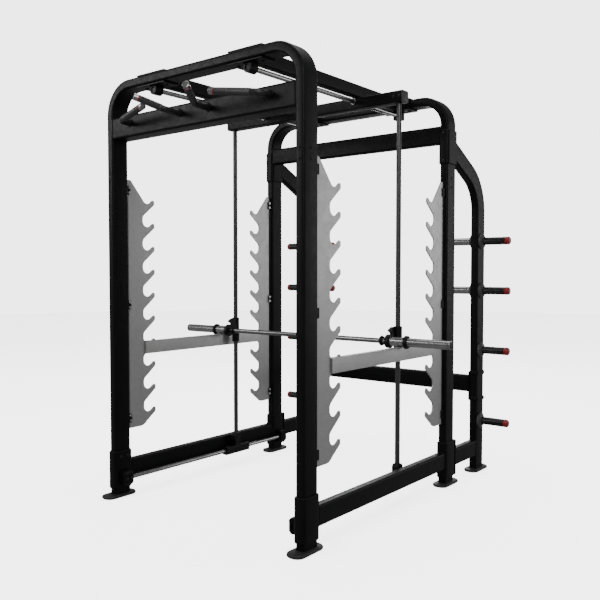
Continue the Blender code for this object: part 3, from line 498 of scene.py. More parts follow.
def hoop(name, node, y):
    """A bent tube up one post, across the top and down the other."""
    low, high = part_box(node)
    along_y = Vector((0, 1, 0))
    bend_x = POST_X - ARCH_BEND
    bend_z = high.z - TUBE_NARROW / 2 - ARCH_BEND
    stations = [(Vector((-POST_X, y, low.z)), Vector((-1, 0, 0)), along_y)]
    for side, first in ((-1, 180), (1, 90)):
        for step in range(BEND_STEPS + 1):
            angle = math.radians(first - 90 * step / BEND_STEPS)
            outward = Vector((math.cos(angle), 0, math.sin(angle)))
            stations.append((Vector((side * bend_x, y, bend_z)) + outward * ARCH_BEND, outward, along_y))
    stations.append((Vector((POST_X, y, low.z)), Vector((1, 0, 0)), along_y))
    mesh = swept(stations, rectangle(TUBE_NARROW, TUBE_DEEP, TUBE_CORNER))
    piece(name, mesh, stands_for=[node])
    places = []
    for side in (-1, 1):
        for z in PLUG_HEIGHTS:
            places.append(((side * POST_X, y - TUBE_DEEP / 2, z), (0, -1, 0)))
            places.append(((side * (POST_X + TUBE_NARROW / 2), y, z), (side, 0, 0)))
    bolts(name + "_plugs", PLUG, places, finish="housing_black")


def feet():
    """Oblong foot plates with a rolled rim, a rubber pad below and a weld round the post."""
    for row, y in (("front", FRONT_Y), ("rear", REAR_Y), ("storage", STORE_Y)):
        for label, side in SIDES:
            node = f"foot_{row}_{label}"
            low, high, centre = measured(node)
            size = high - low
            corner = size.x * 0.447
            rim = high.z - 0.0075
            levels = [(-0.0015, low.z + 0.0030), (0.0, low.z + 0.0045), (0.0, rim)]
            levels += [(-0.0065 * (1 - math.cos(t)), rim + 0.0060 * math.sin(t))
                       for t in map(math.radians, (20, 40, 60, 80))]
            levels += [(-0.014, high.z - 0.0009), (-0.017, high.z - GAP)]
            rings = stacked(size.x, size.y, corner, levels, centre, 10)
            piece(node + "_plate", lofted(rings), "foot_grey", stands_for=[node])
            pad = rectangle(size.x - 0.008, size.y - 0.008, corner - 0.004, 10)
            pad = moved(prism(pad, "Z", low.z, low.z + 0.0034), (centre.x, centre.y, 0))
            piece(node + "_pad", pad, "grip_rubber", bevel=0.0006)
            bead = rectangle(TUBE_NARROW + 0.001, TUBE_DEEP + 0.001, TUBE_CORNER)
            weld(node + "_weld", [(side * POST_X + a, y + b, high.z) for a, b in bead])


def saddle(name, x, y, low, high):
    """A welded sleeve round a post, with chamfered rims."""
    wide, deep, rim = TUBE_NARROW + 2 * GAP, TUBE_DEEP + 2 * GAP, 0.004
    levels = ((0, low), (PLATE - rim, low), (PLATE, low + rim), (PLATE, high - rim),
              (PLATE - rim, high), (0, high))
    rings = stacked(wide, deep, TUBE_CORNER, levels, (x, y))
    piece(name, lofted(rings, closed=True), bevel=0.0010, sharp=30)


def beam_tube(node, x, ends, heights):
    """A rounded tube along Y, in place of its node."""
    low, high = heights
    mesh = prism(rectangle(TUBE_NARROW, high - low, TUBE_CORNER), "Y", *ends)
    piece(node + "_tube", moved(mesh, (x, 0, (low + high) / 2)), stands_for=[node])


def beam_weld(name, x, y, heights, top=math.inf):
    """The weld round the end of a beam along Y, as far up as the face that it meets."""
    low, high = heights
    z = (low + high) / 2
    outline = rectangle(TUBE_NARROW, high - low, TUBE_CORNER)
    weld(name, [(x + a, y, z + b) for a, b in outline if z + b < top])


def side_frames():
    """Lower beams with their saddles, bolts, welds and the blocks of the lower rails."""
    start, end = FRONT_Y + WEB - SIDE_BEAM_LAP, REAR_Y - WEB + SIDE_BEAM_LAP
    for label, side in SIDES:
        node = f"side_beam_{label}"
        low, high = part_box(node)
        x = side * POST_X
        beam_tube(node, x, (start, end), SIDE_BEAM)
        for row, y, inward in ROWS:
            saddle(f"{node}_saddle_{row}", x, y, low.z, high.z)
            beam_weld(f"{node}_weld_{row}", x, y + inward * WEB, SIDE_BEAM)
            inner = x - side * (TUBE_NARROW / 2 + GAP + PLATE)
            places = [((inner, y + s, high.z - 0.032), (-side, 0, 0)) for s in (-0.020, 0.026)]
            bolts(f"{node}_bolts_{row}", SMALL_DOME, places)
            rail_block(f"{node}_rail_block_{row}", side, y)
        storage_beam(f"storage_beam_{label}", x)


def storage_beam(node, x):
    """A lower beam to a storage post, bolted to the rear saddle by a flange."""
    low, high, centre = measured(node)
    face = low.y + PLATE
    beam_tube(node, x, (face - 0.002, high.y + 0.010), STORAGE_BEAM)
    plate = prism(rectangle(high.x - low.x, high.z - low.z, 0.006, 3), "Y", low.y, face)
    piece(node + "_flange", moved(plate, (x, 0, centre.z)), bevel=0.0012)
    for row, y in (("front", face), ("rear", high.y)):
        beam_weld(f"{node}_weld_{row}", x, y, STORAGE_BEAM)
    places = [((x + s, face, z), (0, 1, 0)) for s in (-0.016, 0.016)
              for z in (low.z + 0.022, high.z - 0.022)]
    bolts(node + "_bolts", DOME, places)


def rail_block(name, side, y):
    """A chamfered block on the saddle's inner wall round the end of a lower rail."""
    rail = middle("lower_rail_right")
    wall = POST_X - TUBE_NARROW / 2 - GAP - PLATE / 2
    low, high, chamfer, reach = 0.072, 0.148, 0.012, 0.027
    inner = rail.x - 0.025
    outline = [(wall, low), (wall, high), (inner + chamfer, high), (inner, high - chamfer),
               (inner, low + chamfer), (inner + chamfer, low)]
    block = prism([(side * a, z) for a, z in outline], "Y", y - reach, y + reach)
    bore = moved(drill(RAIL_BORE, y - 0.1, y + 0.1, "Y"), (side * rail.x, 0, rail.z))
    piece(name, cut(block, bore), bevel=0.0014)
    bolts(name + "_screws", SMALL_DOME, [((side * inner, y + s, rail.z), (-side, 0, 0))
                                         for s in (-0.015, 0.015)])


def crossbeams():
    """The pull-up beam and the upper rear beam, with welds at their ends."""
    for node in ("pull_up_beam", "rear_crossbeam"):
        low, high, centre = measured(node)
        outline = rectangle(high.y - low.y, high.z - low.z, TUBE_CORNER)
        reach = high.x + 0.012
        piece(node + "_tube", moved(prism(outline, "X", -reach, reach), (0, centre.y, centre.z)),
              stands_for=[node])
        for label, side in SIDES:
            weld(f"{node}_weld_{label}", [(side * high.x, centre.y + a, centre.z + b) for a, b in outline])


def storage_crossbeam():
    """The storage crossbeam with an end plate and two chamfered straps on each post."""
    node = "storage_crossbeam"
    low, high, centre = measured(node)
    beam_low, beam_high = STORAGE_CROSSBEAM
    outline = rectangle(TUBE_NARROW, beam_high - beam_low, TUBE_CORNER)
    wall = POST_X - TUBE_NARROW / 2 - GAP
    reach = wall - PLATE / 2
    y, z = STORE_Y - TUBE_DEEP / 2 + TUBE_NARROW / 2, (beam_low + beam_high) / 2
    piece(node + "_tube", moved(prism(outline, "X", -reach, reach), (0, y, z)), stands_for=[node])
    for label, side in SIDES:
        x = side * POST_X
        face = side * (wall - PLATE)
        weld(f"{node}_weld_{label}", [(face, y + a, z + b) for a, b in outline])
        plate = prism(rectangle(TUBE_DEEP - 0.004, high.z - low.z - 0.010, 0.006, 3), "X",
                      *sorted((face, face + side * PLATE)))
        piece(f"{node}_plate_{label}", moved(plate, (0, STORE_Y, centre.z)), bevel=0.0014)
        strap(f"{node}_strap_lower_{label}", x, low.z)
        strap(f"{node}_strap_upper_{label}", x, high.z - STRAP_HEIGHT)
        places = [((x - side * 0.0333, STORE_Y + 0.030, level), (-side, 0, 0))
                  for level in (low.z + 0.045, high.z - 0.045)]
        bolts(f"{node}_bolts_{label}", DOME, places)


def strap(name, x, low):
    """A strap with chamfered rims round a storage post."""
    high, rim = low + STRAP_HEIGHT, 0.008
    levels = ((0.0006, low), (PLATE, low + rim), (PLATE, high - rim), (0.0006, high),
              (0.0002, high), (0.0002, low))
    rings = stacked(TUBE_NARROW, TUBE_DEEP, TUBE_CORNER, levels, (x, STORE_Y))
    piece(name, lofted(rings, closed=True), sharp=25)


def top_beams():
    """Top beams, the saddles that grip the hoops, and the blocks of the upper rails."""
    for label in LABELS:
        node = f"top_beam_{label}"
        low, high, centre = measured(node)
        x = centre.x
        half = (high.x - low.x) / 2
        heights = (TOP_BEAM_LOW, high.z)
        beam_tube(node, x, (FRONT_Y + WEB - 0.002, REAR_Y - WEB + 0.002), heights)
        arch_low, arch_high = ARCH_TOP - TUBE_NARROW - GAP, ARCH_TOP + GAP
        bottom, top = arch_low - PLATE, arch_high + PLATE
        for row, y, inward in ROWS:
            reach = sorted((y - inward * TOP_SADDLE_REACH, y + inward * WEB))
            block = box((x - half, x + half), reach, (bottom, top))
            tool = box((x - 1, x + 1), sorted((y - inward * 0.2, y + inward * (WEB - PLATE))),
                       (arch_low, arch_high))
            piece(f"{node}_saddle_{row}", cut(block, tool), bevel=0.0016)
            places = [((x + s, y + inward * 0.004, z), (0, 0, up)) for z, up in ((top, 1), (bottom, -1))
                      for s in (-0.078, 0.078)]
            bolts(f"{node}_bolts_{row}", DOME, places)
            beam_weld(f"{node}_weld_{row}", x, y + inward * WEB, heights, top)
            rail_hanger(f"{node}_hanger_{row}", x, y, low.z, inward > 0)


def rail_hanger(name, x, y, low, rounded):
    """The block under a top saddle that holds an upper rail's end."""
    rail = middle("upper_rail_right")
    half, reach = 0.025, 0.026
    top = ARCH_TOP - TUBE_NARROW - GAP - PLATE / 2
    if rounded:
        outline = arc((0, low + half), half, 180, 360, 20) + [(half, top), (-half, top)]
    else:
        outline = [(-half, low), (half, low), (half, top), (-half, top)]
    block = moved(prism(outline, "Y", y - reach, y + reach), (x, 0, 0))
    bore = moved(drill(RAIL_BORE, y - 0.1, y + 0.1, "Y"), (x, 0, rail.z))
    piece(name, cut(block, bore), bevel=0.0016)
    screws = [((x + s * half, y, rail.z + 0.004), (s, 0, 0)) for s in (-1, 1)]
    bolts(name + "_screws", SMALL_DOME, screws)


def storage_uprights():
    """Bent storage posts with a saddle round each rear post."""
    bend, bend_z, turn = 0.257, 1.651, math.radians(63.5)
    saddle_low, saddle_high = 1.903, 2.102
    along_x = Vector((1, 0, 0))
    for label, side in SIDES:
        node = f"storage_upright_{label}"
        x = side * POST_X
        foot_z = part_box(node)[0].z
        centre = Vector((x, STORE_Y - bend, bend_z))
        stations = [(Vector((x, STORE_Y, foot_z)), along_x, Vector((0, 1, 0)))]
        for step in range(BEND_STEPS + 1):
            angle = turn * step / BEND_STEPS
            outward = Vector((0, math.cos(angle), math.sin(angle)))
            stations.append((centre + outward * bend, along_x, outward))
        heading = Vector((0, -math.sin(turn), math.cos(turn)))
        last, _, outward = stations[-1]
        end_y = REAR_Y + TUBE_DEEP / 2 + GAP + PLATE / 4
        tip = last + heading * ((last.y - end_y) / -heading.y)
        stations.append((tip, along_x, outward - heading * (outward.y / heading.y)))
        mesh = swept(stations, rectangle(TUBE_NARROW, TUBE_DEEP, TUBE_CORNER))
        piece(node + "_tube", mesh, stands_for=[node])
        saddle(f"{node}_saddle", x, REAR_Y, saddle_low, saddle_high)
        places = [((x, REAR_Y - WEB, z), (0, -1, 0)) for z in (saddle_low + 0.018, saddle_high - 0.020)]
        bolts(f"{node}_bolts", SMALL_DOME, places)


def peg_flange(face):
    """The chamfered ring round a peg, against a post face."""
    bore, edge, end = 0.0246, 0.049, face + 0.020
    return turned([(bore, face), (edge - 0.001, face), (edge, face + 0.001), (edge, face + 0.006),
                   (edge - 0.0012, face + 0.0085), (0.032, end - 0.001), (0.0305, end), (bore, end)],
                  bored=True)


def red_cap(end):
    """A domed cap over the end of a peg."""
    radius, start, dome = PEG_RADIUS + 0.0004, end - 0.028, 0.012
    profile = [(radius - 0.0012, start), (radius, start + 0.0012), (radius, end - dome)]
    return turned(profile + rounded_end(radius, end, dome, (18, 36, 54, 72, 90)))


def storage_pegs():
    """Pegs: chrome darkened to near black outside the post as a painted dark reflection, plain chrome
    inside it, with rings at its faces and red caps.
    """
    face = POST_X + TUBE_NARROW / 2
    root = face - 0.002
    for level in range(1, 5):
        for label, side in SIDES:
            node = f"storage_peg_{level}_{label}"
            low, high, centre = measured(node)
            inner, outer = sorted((abs(low.x), abs(high.x)))
            rings, caps = [peg_flange(face)], [red_cap(outer)]
            # The outer tube takes the darkened chrome, a painted dark reflection; the stub inside the post
            # takes plain chrome.
            groups = [("_tube", [drill(PEG_RADIUS, root, outer - PEG_CAP)], "peg_painted_dark_reflection"),
                      ("_ring", rings, "ring_grey"), ("_cap", caps, "red_plastic")]
            if inner < face - 0.1:
                groups.append(("_stub", [drill(PEG_RADIUS, inner + PEG_CAP, root)], "chrome"))
                rings.append(moved(turned_round(peg_flange(0)), (POST_X - TUBE_NARROW / 2, 0, 0)))
                caps.append(moved(turned_round(red_cap(0)), (inner, 0, 0)))
            for ending, meshes, finish in groups:
                mesh = on_side(together(*meshes), side)
                stands_for = [node] if ending == "_tube" else ()
                piece(node + ending, moved(mesh, (0, centre.y, centre.z)), finish, stands_for=stands_for)


# Hook plates and safety arms --------------------------------------------------

HOOKS = 10
HOOK_PITCH = 0.1353


def hook_outline(top, bottom):
    """The toothed edge from top to bottom, then the straight edge; (inward, height)."""
    seat, seat_radius, nose, chin, fillet, toe = 0.2045, 0.0335, 0.010, 0.016, 0.030, 0.055
    points = [(PLATE_EDGE, top), (0.084, top), (0.0862, top - 0.001)]
    for hook in range(HOOKS):
        tip = top - 0.105 - hook * HOOK_PITCH
        points += arc((seat, tip + 0.0115), seat_radius, 230 if hook == 0 else 180, 318, 18)
        points += arc((0.2473, tip - nose), nose, 135, 0, 8)
        points += arc((0.2413, tip - 0.0185), chin, 0, -50, 5)[1:]
        if hook < HOOKS - 1:
            points += arc((seat - seat_radius + fillet, tip - 0.1115), fillet, 130, 180, 6)
    points += arc((0.145, bottom + toe), toe, -40, -90, 8)
    points.append((PLATE_EDGE, bottom))
    return points


def hook_columns():
    """Toothed plates, and the clevis cleats with their bolts that hold them off the posts."""
    for row, y, inward in ROWS:
        for label, side in SIDES:
            node = f"hook_plate_{row}_{label}"
            low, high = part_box(node)
            x = side * POST_X
            outline = [(inward * s, z) for s, z in hook_outline(high.z, low.z)]
            plate = prism(outline, "X", low.x, high.x)
            piece(node + "_teeth", moved(plate, (0, y, 0)), "plate_grey", stands_for=[node], bevel=0.0009,
                  sharp=50)
            top, bottom = high.z - 0.060, low.z + 0.058
            places = []
            for number, z in enumerate((top, (top + bottom) / 2, bottom)):
                cleat(f"{node}_cleat_{number + 1}", x, y, z, inward)
                places += [((x - side * 0.012, y + inward * 0.0705, z + rise), (-side, 0, 0))
                           for rise in (-0.0145, 0.0145)]
            bolts(node + "_bolts", HEX, places, finish="zinc")


def cleat(name, x, y, z, inward):
    """A clevis lug welded to a post, with its slot for the hook plate."""
    start, end, slot = TUBE_DEEP / 2 - 0.001, 0.078, PLATE_EDGE - GAP
    half, half_height, half_slot, rounding = 0.012, 0.025, 0.0043, 0.006
    side_view = [(start, -half_height), (start, half_height)]
    side_view += arc((end - rounding, half_height - rounding), rounding, 90, 0, 6)
    side_view += arc((end - rounding, -half_height + rounding), rounding, 0, -90, 6)
    block = prism([(inward * s, h) for s, h in side_view], "X", -half, half)
    tool = box((-half_slot, half_slot), sorted((inward * slot, inward * 0.2)), (-0.1, 0.1))
    piece(name, moved(cut(block, tool), (x, y, z)), bevel=0.0012)


def safety_arms():
    """Pressed channels, open below, with the notches and slots that drop over the hooks."""
    for label in LABELS:
        node = f"safety_arm_{label}"
        low, high, centre = measured(node)
        half = (high.x - low.x) / 2
        wall, web, corner = 0.006, 0.8602, 0.005
        outline = [(-half, low.z)]
        outline += arc((-half + corner, high.z - corner), corner, 180, 90, 5)
        outline += arc((half - corner, high.z - corner), corner, 90, 0, 5)
        outline += [(half, low.z), (half - wall, low.z), (half - wall, web), (-half + wall, web),
                    (-half + wall, low.z)]
        channel = prism(outline, "Y", low.y, high.y)
        tools = []
        for _, y, inward in ROWS:
            for near, far in ((0.160, 0.192), (0.217, 0.272)):
                y_range = sorted((y + inward * near, y + inward * far))
                tools.append(box((-0.006, 0.006), y_range, (web - 0.01, high.z + 0.01)))
        mesh = moved(cut(channel, *tools), (centre.x, 0, 0))
        piece(node + "_channel", mesh, "plate_grey", stands_for=[node], bevel=0.0008)


# Pull-up handles --------------------------------------------------------------

HANDLE_ROOT_Z = 2.073
HANDLE_SHAPES = {"inner": ((0.101, -0.140, HANDLE_ROOT_Z), (0.186, -0.275, 2.127)),
                 "outer": ((0.498, -0.115, HANDLE_ROOT_Z), (0.237, -0.175, 2.106))}
HANDLE_RADIUS = 0.016
HANDLE_PLUG = 0.024
HANDLE_RING = 0.005
HANDLE_STEPS = 16
GRIP_RADIUS = 0.0176
RIB = 0.00035
RIB_STEP = 0.0016


def handle_path(corner, tip, side):
    """Stations of (point, first axis, second axis) round a bent handle, its last heading and tip."""
    root = Vector((side * corner[0], FRONT_Y - TUBE_DEEP / 2 - GAP, corner[2]))
    corner = Vector((side * corner[0], FRONT_Y + corner[1], corner[2]))
    tip = Vector((side * tip[0], FRONT_Y + tip[1], tip[2]))
    radius = 0.045
    forward = (corner - root).normalized()
    onward = (tip - corner).normalized()
    bend = forward.angle(onward)
    start = corner - forward * radius * math.tan(bend / 2)
    inside = (onward - forward * onward.dot(forward)).normalized()
    centre = start + inside * radius
    normal = forward.cross(onward).normalized()
    stations = [(root, inside, normal)]
    for step in range(HANDLE_STEPS + 1):
        angle = bend * step / HANDLE_STEPS
        outward = -(inside * math.cos(angle) - forward * math.sin(angle))
        stations.append((centre + outward * radius, -outward, normal))
    return stations, onward, tip


def round_skin(stations):
    """A round skin over stations of (point, first axis, second axis, radius)."""
    sides = 40
    rings = []
    for point, first, second, radius in stations:
        rings.append([point + (first * math.cos(a) + second * math.sin(a)) * radius
                      for a in (2 * math.pi * k / sides for k in range(sides))])
    return lofted(rings)


def handles():
    """Bent tubes on the pull-up beam, each with a ribbed grip, a red ring and a chromed plug."""
    plug, ring = HANDLE_PLUG, HANDLE_RING
    for kind, (corner, tip) in HANDLE_SHAPES.items():
        for label, side in SIDES:
            node = f"pull_up_handle_{kind}_{label}"
            stations, onward, end = handle_path(corner, tip, side)
            last, first, second = stations[-1]
            grip_start = last + onward * 0.012
            grip_end = end - onward * (plug + ring)
            plug_start = end - onward * plug
            tube = [(*station, HANDLE_RADIUS) for station in stations + [(plug_start, first, second)]]
            piece(node + "_tube", round_skin(tube), "handle_grey", stands_for=[node])
            grip = []
            count = int((grip_end - grip_start).length / RIB_STEP)
            for step in range(count + 1):
                edge = min(step, count - step)
                rib = RIB * math.cos(step * math.pi) if edge > 4 else 0.0
                radius = GRIP_RADIUS + rib - (0.0012 if edge == 0 else 0.0)
                grip.append((grip_start.lerp(grip_end, step / count), first, second, radius))
            piece(node + "_grip", round_skin(grip), "grip_rubber")
            band = [(grip_end + onward * along, first, second, radius) for along, radius in
                    ((0.0, 0.0172), (0.001, 0.018), (ring - 0.001, 0.018), (ring, 0.0172))]
            piece(node + "_ring", round_skin(band), "red_plastic")
            cap = [(plug_start + onward * along, first, second, radius) for along, radius in
                   ((0.0, 0.0165), (0.001, 0.0175), (plug - 0.003, 0.0175), (plug - 0.0012, 0.0168),
                    (plug, 0.0150), (plug, 0.0098), (plug - 0.0015, 0.0090), (plug - 0.0015, 0.0030))]
            piece(node + "_plug", round_skin(cap), "chrome")
            flange = turned([(0.0226, 0), (0.0226, -0.002), (0.0214, -0.0036), (0.0185, -0.0045)], "Y")
            piece(node + "_flange", moved(flange, stations[0][0]))


# Rails, carriage and guide rods -----------------------------------------------

def rails():
    """Ground chromed rails with chamfered ends."""
    for level in ("upper", "lower"):
        for label in LABELS:
            node = f"{level}_rail_{label}"
            low, high, centre = measured(node)
            start, end = low.y + 0.003, high.y - 0.003
            mesh = rod((high.z - low.z) / 2, start, end, 0.0015, "Y")
            piece(node + "_bar", moved(mesh, (centre.x, 0, centre.z)), "chrome", stands_for=[node])
            plugs = [turned([(0.0128, start - GAP), (0.0128, low.y + 0.001), (0.0118, low.y)], "Y"),
                     turned([(0.0128, end + GAP), (0.0128, high.y - 0.001), (0.0118, high.y)], "Y")]
            piece(node + "_plugs", moved(together(*plugs), (centre.x, 0, centre.z)), "housing_black")


def carriage():
    """The crossbeam on its bearings, its end caps, the guide rods and their feet."""
    low, high, centre = measured("carriage_beam")
    size = high - low
    beam = prism(rectangle(size.y, size.z, 0.006, 4), "X", low.x, high.x)
    rail = middle("upper_rail_right")
    tools = [moved(drill(0.0168, -0.1, 0.1, "Y"), (side * rail.x, 0, rail.z - centre.z))
             for side in (-1, 1)]
    mesh = moved(cut(beam, *tools), centre)
    piece("carriage_crossbeam", mesh, "frame_black", "carriage", ["carriage_beam"], bevel=0.0008)
    for label, side in SIDES:
        carriage_end(label, side, centre, size)
        upper_bearing(label)
        guide_rod(label)
        lower_carriage(label)


def carriage_end(label, side, centre, size):
    """A grey end cap with a rolled edge, and the clamp screws of the guide rod."""
    node = f"carriage_cap_{label}"
    low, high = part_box(node)
    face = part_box("carriage_beam")[1].x + GAP
    end = high.x if side > 0 else -low.x
    rings = []
    for inset, along in ((0.0, face), (0.0, end - 0.003), (0.0009, end - 0.0012), (0.003, end)):
        ring = rectangle(size.y - 2 * inset, size.z - 2 * inset, 0.007 - inset / 2, 4)
        rings.append([(side * along, centre.y + a, centre.z + b) for a, b in ring])
    piece(node + "_cover", lofted(rings), "cap_grey", "carriage", [node])
    rod_x = middle(f"guide_rod_{label}").x
    front = centre.y - size.y / 2
    places = [((rod_x + s, front, centre.z), (0, -1, 0)) for s in (-0.016, 0.016)]
    bolts(node + "_screws", SMALL_DOME, places, "carriage")


def upper_bearing(label):
    """A linear bearing: ground shell, retaining groove, and a black seal at each end."""
    node = f"upper_bearing_{label}"
    low, high, centre = measured(node)
    reach = (high.y - low.y) / 2
    shell, bore, flange, front = 0.0165, 0.0140, 0.0182, -0.0333
    groove, groove_start, groove_end = shell - 0.0008, reach - 0.0035, reach - 0.0022
    profile = [(bore, -reach), (flange - 0.0006, -reach), (flange, -reach + 0.0006), (flange, front),
               (shell, front), (shell, groove_start), (groove, groove_start), (groove, groove_end),
               (shell, groove_end), (shell - 0.0004, reach), (bore, reach)]
    piece(node + "_shell", moved(turned(profile, "Y", bored=True), centre), "bearing_steel", "carriage",
          [node])
    seals = [sleeve_ring(0.0130, bore - 0.0001, (sign * (reach - 0.001), sign * (reach - 0.006)), "Y")
             for sign in (-1, 1)]
    piece(node + "_seals", moved(together(*seals), centre), "grip_rubber", "carriage")


def guide_rod(label):
    """A dark ground rod with chamfered ends."""
    node = f"guide_rod_{label}"
    low, high, centre = measured(node)
    mesh = rod((high.x - low.x) / 2, low.z, high.z, 0.0015, "Z")
    piece(node + "_bar", moved(mesh, (centre.x, centre.y, 0)), "rod_steel", "carriage", [node])


def lower_carriage(label):
    """The shoe round a lower rail, with its pedestal, end seals and screws."""
    node = f"lower_carriage_{label}"
    low, high, centre = measured(node)
    rail = middle(f"lower_rail_{label}")
    shoe_top = 0.134
    half_y = (high.y - low.y) / 2
    outline = rectangle(high.x - low.x, shoe_top - low.z, 0.008, 4)
    shoe = moved(prism(outline, "Y", -half_y, half_y), (0, 0, (shoe_top + low.z) / 2))
    rear_side = [(0.021, shoe_top - 0.008), (0.021, 0.160), (0.027, 0.166), (0.027, high.z - 0.012),
                 (0.017, high.z)]
    front_side = [(-y, z) for y, z in reversed(rear_side)]
    half_x, rod_foot = 0.019, 0.1702
    pedestal = prism(rear_side + front_side, "X", -half_x, half_x)
    rail_bore = moved(drill(RAIL_BORE, -0.2, 0.2, "Y"), (0, 0, rail.z))
    mesh = cut(joined(shoe, pedestal), rail_bore, drill(SHAFT_BORE, rod_foot, 0.3, "Z"))
    piece(node + "_body", moved(mesh, (centre.x, centre.y, 0)), "housing_black", "carriage", [node],
          bevel=0.0014)
    places = [((centre.x + s * half_x, centre.y, 0.184), (s, 0, 0)) for s in (-1, 1)]
    bolts(node + "_screws", SMALL_DOME, places, "carriage")
    seals = [sleeve_ring(0.0129, 0.0165, (sign * half_y, sign * (half_y - 0.004)), "Y")
             for sign in (-1, 1)]
    piece(node + "_seals", moved(together(*seals), (centre.x, centre.y, rail.z)), "grip_rubber", "carriage")


# Bar --------------------------------------------------------------------------

def rod_housings():
    """The bushing housing on each rod, the bar's bearing ring and the pointed lug."""
    bar_axis = middle("bar_shaft")
    for label, side in SIDES:
        node = f"rod_housing_{label}"
        low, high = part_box(node)
        rod_axis = middle(f"guide_rod_{label}")
        rod_x = abs(rod_axis.x)
        offset = bar_axis.y - rod_axis.y
        edge = 0.002
        tube = rod(0.023, low.z, high.z, edge, "Z")
        ring_low, ring_high = 0.593 - rod_x, 0.616 - rod_x
        ring = moved(rod(0.0375, ring_low, ring_high, edge), (0, offset, bar_axis.z))
        web = box((ring_low + 0.003, ring_high - 0.003), (offset + 0.020, 0),
                  (bar_axis.z - 0.023, 0.938))
        root, lug_low, lug_top, tip_z = -0.012, 0.934, high.z - 0.002, 0.953
        shoulder, tip = offset + 0.024, offset - 0.011
        lug = prism([(root, lug_top), (root, lug_low), (shoulder, lug_low), (tip, tip_z),
                     (shoulder, lug_top)], "X", -0.017, -0.005)
        rod_bore = drill(SHAFT_BORE, low.z - 0.1, high.z + 0.1, "Z")
        bar_bore = moved(drill(0.0145, -0.1, 0.1), (0, offset, bar_axis.z))
        mesh = cut(joined(tube, ring, web, lug), rod_bore, bar_bore)
        seals = [sleeve_ring(0.0141, 0.0175, (level + sign * 0.0005, level + sign * 0.006), "Z")
                 for level, sign in ((low.z, 1), (high.z, -1))]
        place = (side * rod_x, rod_axis.y, 0)
        piece(node + "_body", moved(on_side(mesh, side), place), "housing_black", "bar_lift", [node],
              bevel=0.0010)
        piece(node + "_seals", moved(on_side(together(*seals), side), place), "grip_rubber", "bar_lift")


SLEEVE_START, SLEEVE_END = (corner.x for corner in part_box("plate_sleeve_right"))


def bar():
    """The chromed bar with its collars, and the sleeves that turn on its ends."""
    low, high, centre = measured("bar_shaft")
    radius = (high.z - low.z) / 2
    profile = [(radius - 0.002, low.x), (radius, low.x + 0.002)]
    profile += [(radius, low.x + 0.4 * step) for step in range(1, 5)]
    profile += [(radius, high.x - 0.002), (radius - 0.002, high.x)]
    piece("bar_tube", moved(turned(profile), (0, centre.y, centre.z)), "bar_steel", "bar", ["bar_shaft"])
    for label, side in SIDES:
        parts = [(f"clamp_collar_{label}", clamp_collar(), "housing_black", "bar"),
                 (f"racking_collar_{label}", racking_collar(), "chrome", "bar"),
                 (f"plate_sleeve_{label}", sleeve(), "chrome", f"sleeve_{label}")]
        place = (0, centre.y, centre.z)
        for node, mesh, finish, body in parts:
            piece(node + "_metal", moved(on_side(mesh, side), place), finish, body, [node])
        screw = [((middle(f"clamp_collar_{label}").x, centre.y, centre.z + 0.0262), (0, 0, 1))]
        bolts(f"clamp_collar_{label}_screw", dome_bolt(0.003), screw, "bar")
        end = SLEEVE_END + 0.0001
        cap = turned([(0.0195, end - 0.002), (0.0195, end - 0.0012), (0.0185, end - 0.0008),
                      (0.006, end - 0.0008)])
        for ending, mesh in (("_cap", cap), ("_flange", sleeve_flange())):
            piece(f"plate_sleeve_{label}{ending}", moved(on_side(mesh, side), place), "housing_black",
                  f"sleeve_{label}")


def clamp_collar():
    """A black collar with chamfered rims."""
    low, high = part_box("clamp_collar_right")
    start, end, bore, radius = low.x, high.x, SHAFT_BORE, 0.027
    return turned([(bore, start + 0.001), (bore, end - 0.001), (bore + 0.001, end), (0.0215, end),
                   (0.0225, end - 0.001), (radius - 0.0015, end - 0.001), (radius, end - 0.0025),
                   (radius, start + 0.0025), (radius - 0.0015, start + 0.001), (0.0225, start + 0.001),
                   (0.0215, start), (bore + 0.001, start)], bored=True)


def racking_collar():
    """The chromed collar that rests in the hooks, with two turned grooves."""
    low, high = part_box("racking_collar_right")
    start, end, bore, radius = low.x, high.x, SHAFT_BORE, 0.026
    floor = radius - 0.0009
    profile = [(bore, start), (bore, end), (radius - 0.002, end), (radius, end - 0.002)]
    for groove in (end - 0.010, start + 0.012):
        profile += [(radius, groove + 0.0012), (floor, groove + 0.0006), (floor, groove - 0.0006),
                    (radius, groove - 0.0012)]
    profile += [(radius, start + 0.002), (radius - 0.002, start)]
    return turned(profile, bored=True)


def sleeve():
    """A chromed sleeve with a blind bore, a shoulder groove and a rounded end."""
    start, end, radius, recess = SLEEVE_START, SLEEVE_END, 0.024, 0.0198
    groove = radius - 0.0008
    profile = [(SHAFT_BORE, end - 0.0077), (SHAFT_BORE, start), (radius, start), (radius, end - 0.024),
               (groove, end - 0.0233), (groove, end - 0.0217), (radius, end - 0.021)]
    profile += rounded_end(radius, end, 0.004, (0, 22, 45, 67, 90))
    return turned(profile + [(recess, end), (recess, end - 0.0025)])


def sleeve_flange():
    """The black shoulder ring that stops the plates."""
    start, end, bore, rim = SLEEVE_START, SLEEVE_START + 0.018, 0.0242, 0.036
    return turned([(bore, start), (0.0300, start), (0.0312, start + 0.0012), (rim - 0.002, start + 0.0018),
                   (rim, start + 0.0042), (rim, end - 0.0035), (rim - 0.003, end), (bore + 0.001, end),
                   (bore, end - 0.001)], bored=True)


# Studio -----------------------------------------------------------------------

WHITE = (1.0, 1.0, 1.0, 1.0)
FLOOR_RADIUS = 20
DOME_RADIUS = 20.5
DOME_WALL = 6.0             # height at which the backdrop starts to curve inward


def stage_object(name, mesh, material):
    """A part of the studio that shows, but throws no light back on the machine."""
    made = bpy.data.objects.new(name, mesh)
    bpy.context.scene.collection.objects.link(made)
    mesh.materials.append(material)
    made.visible_diffuse = False
    made.visible_glossy = False
    made.visible_shadow = False
    return made


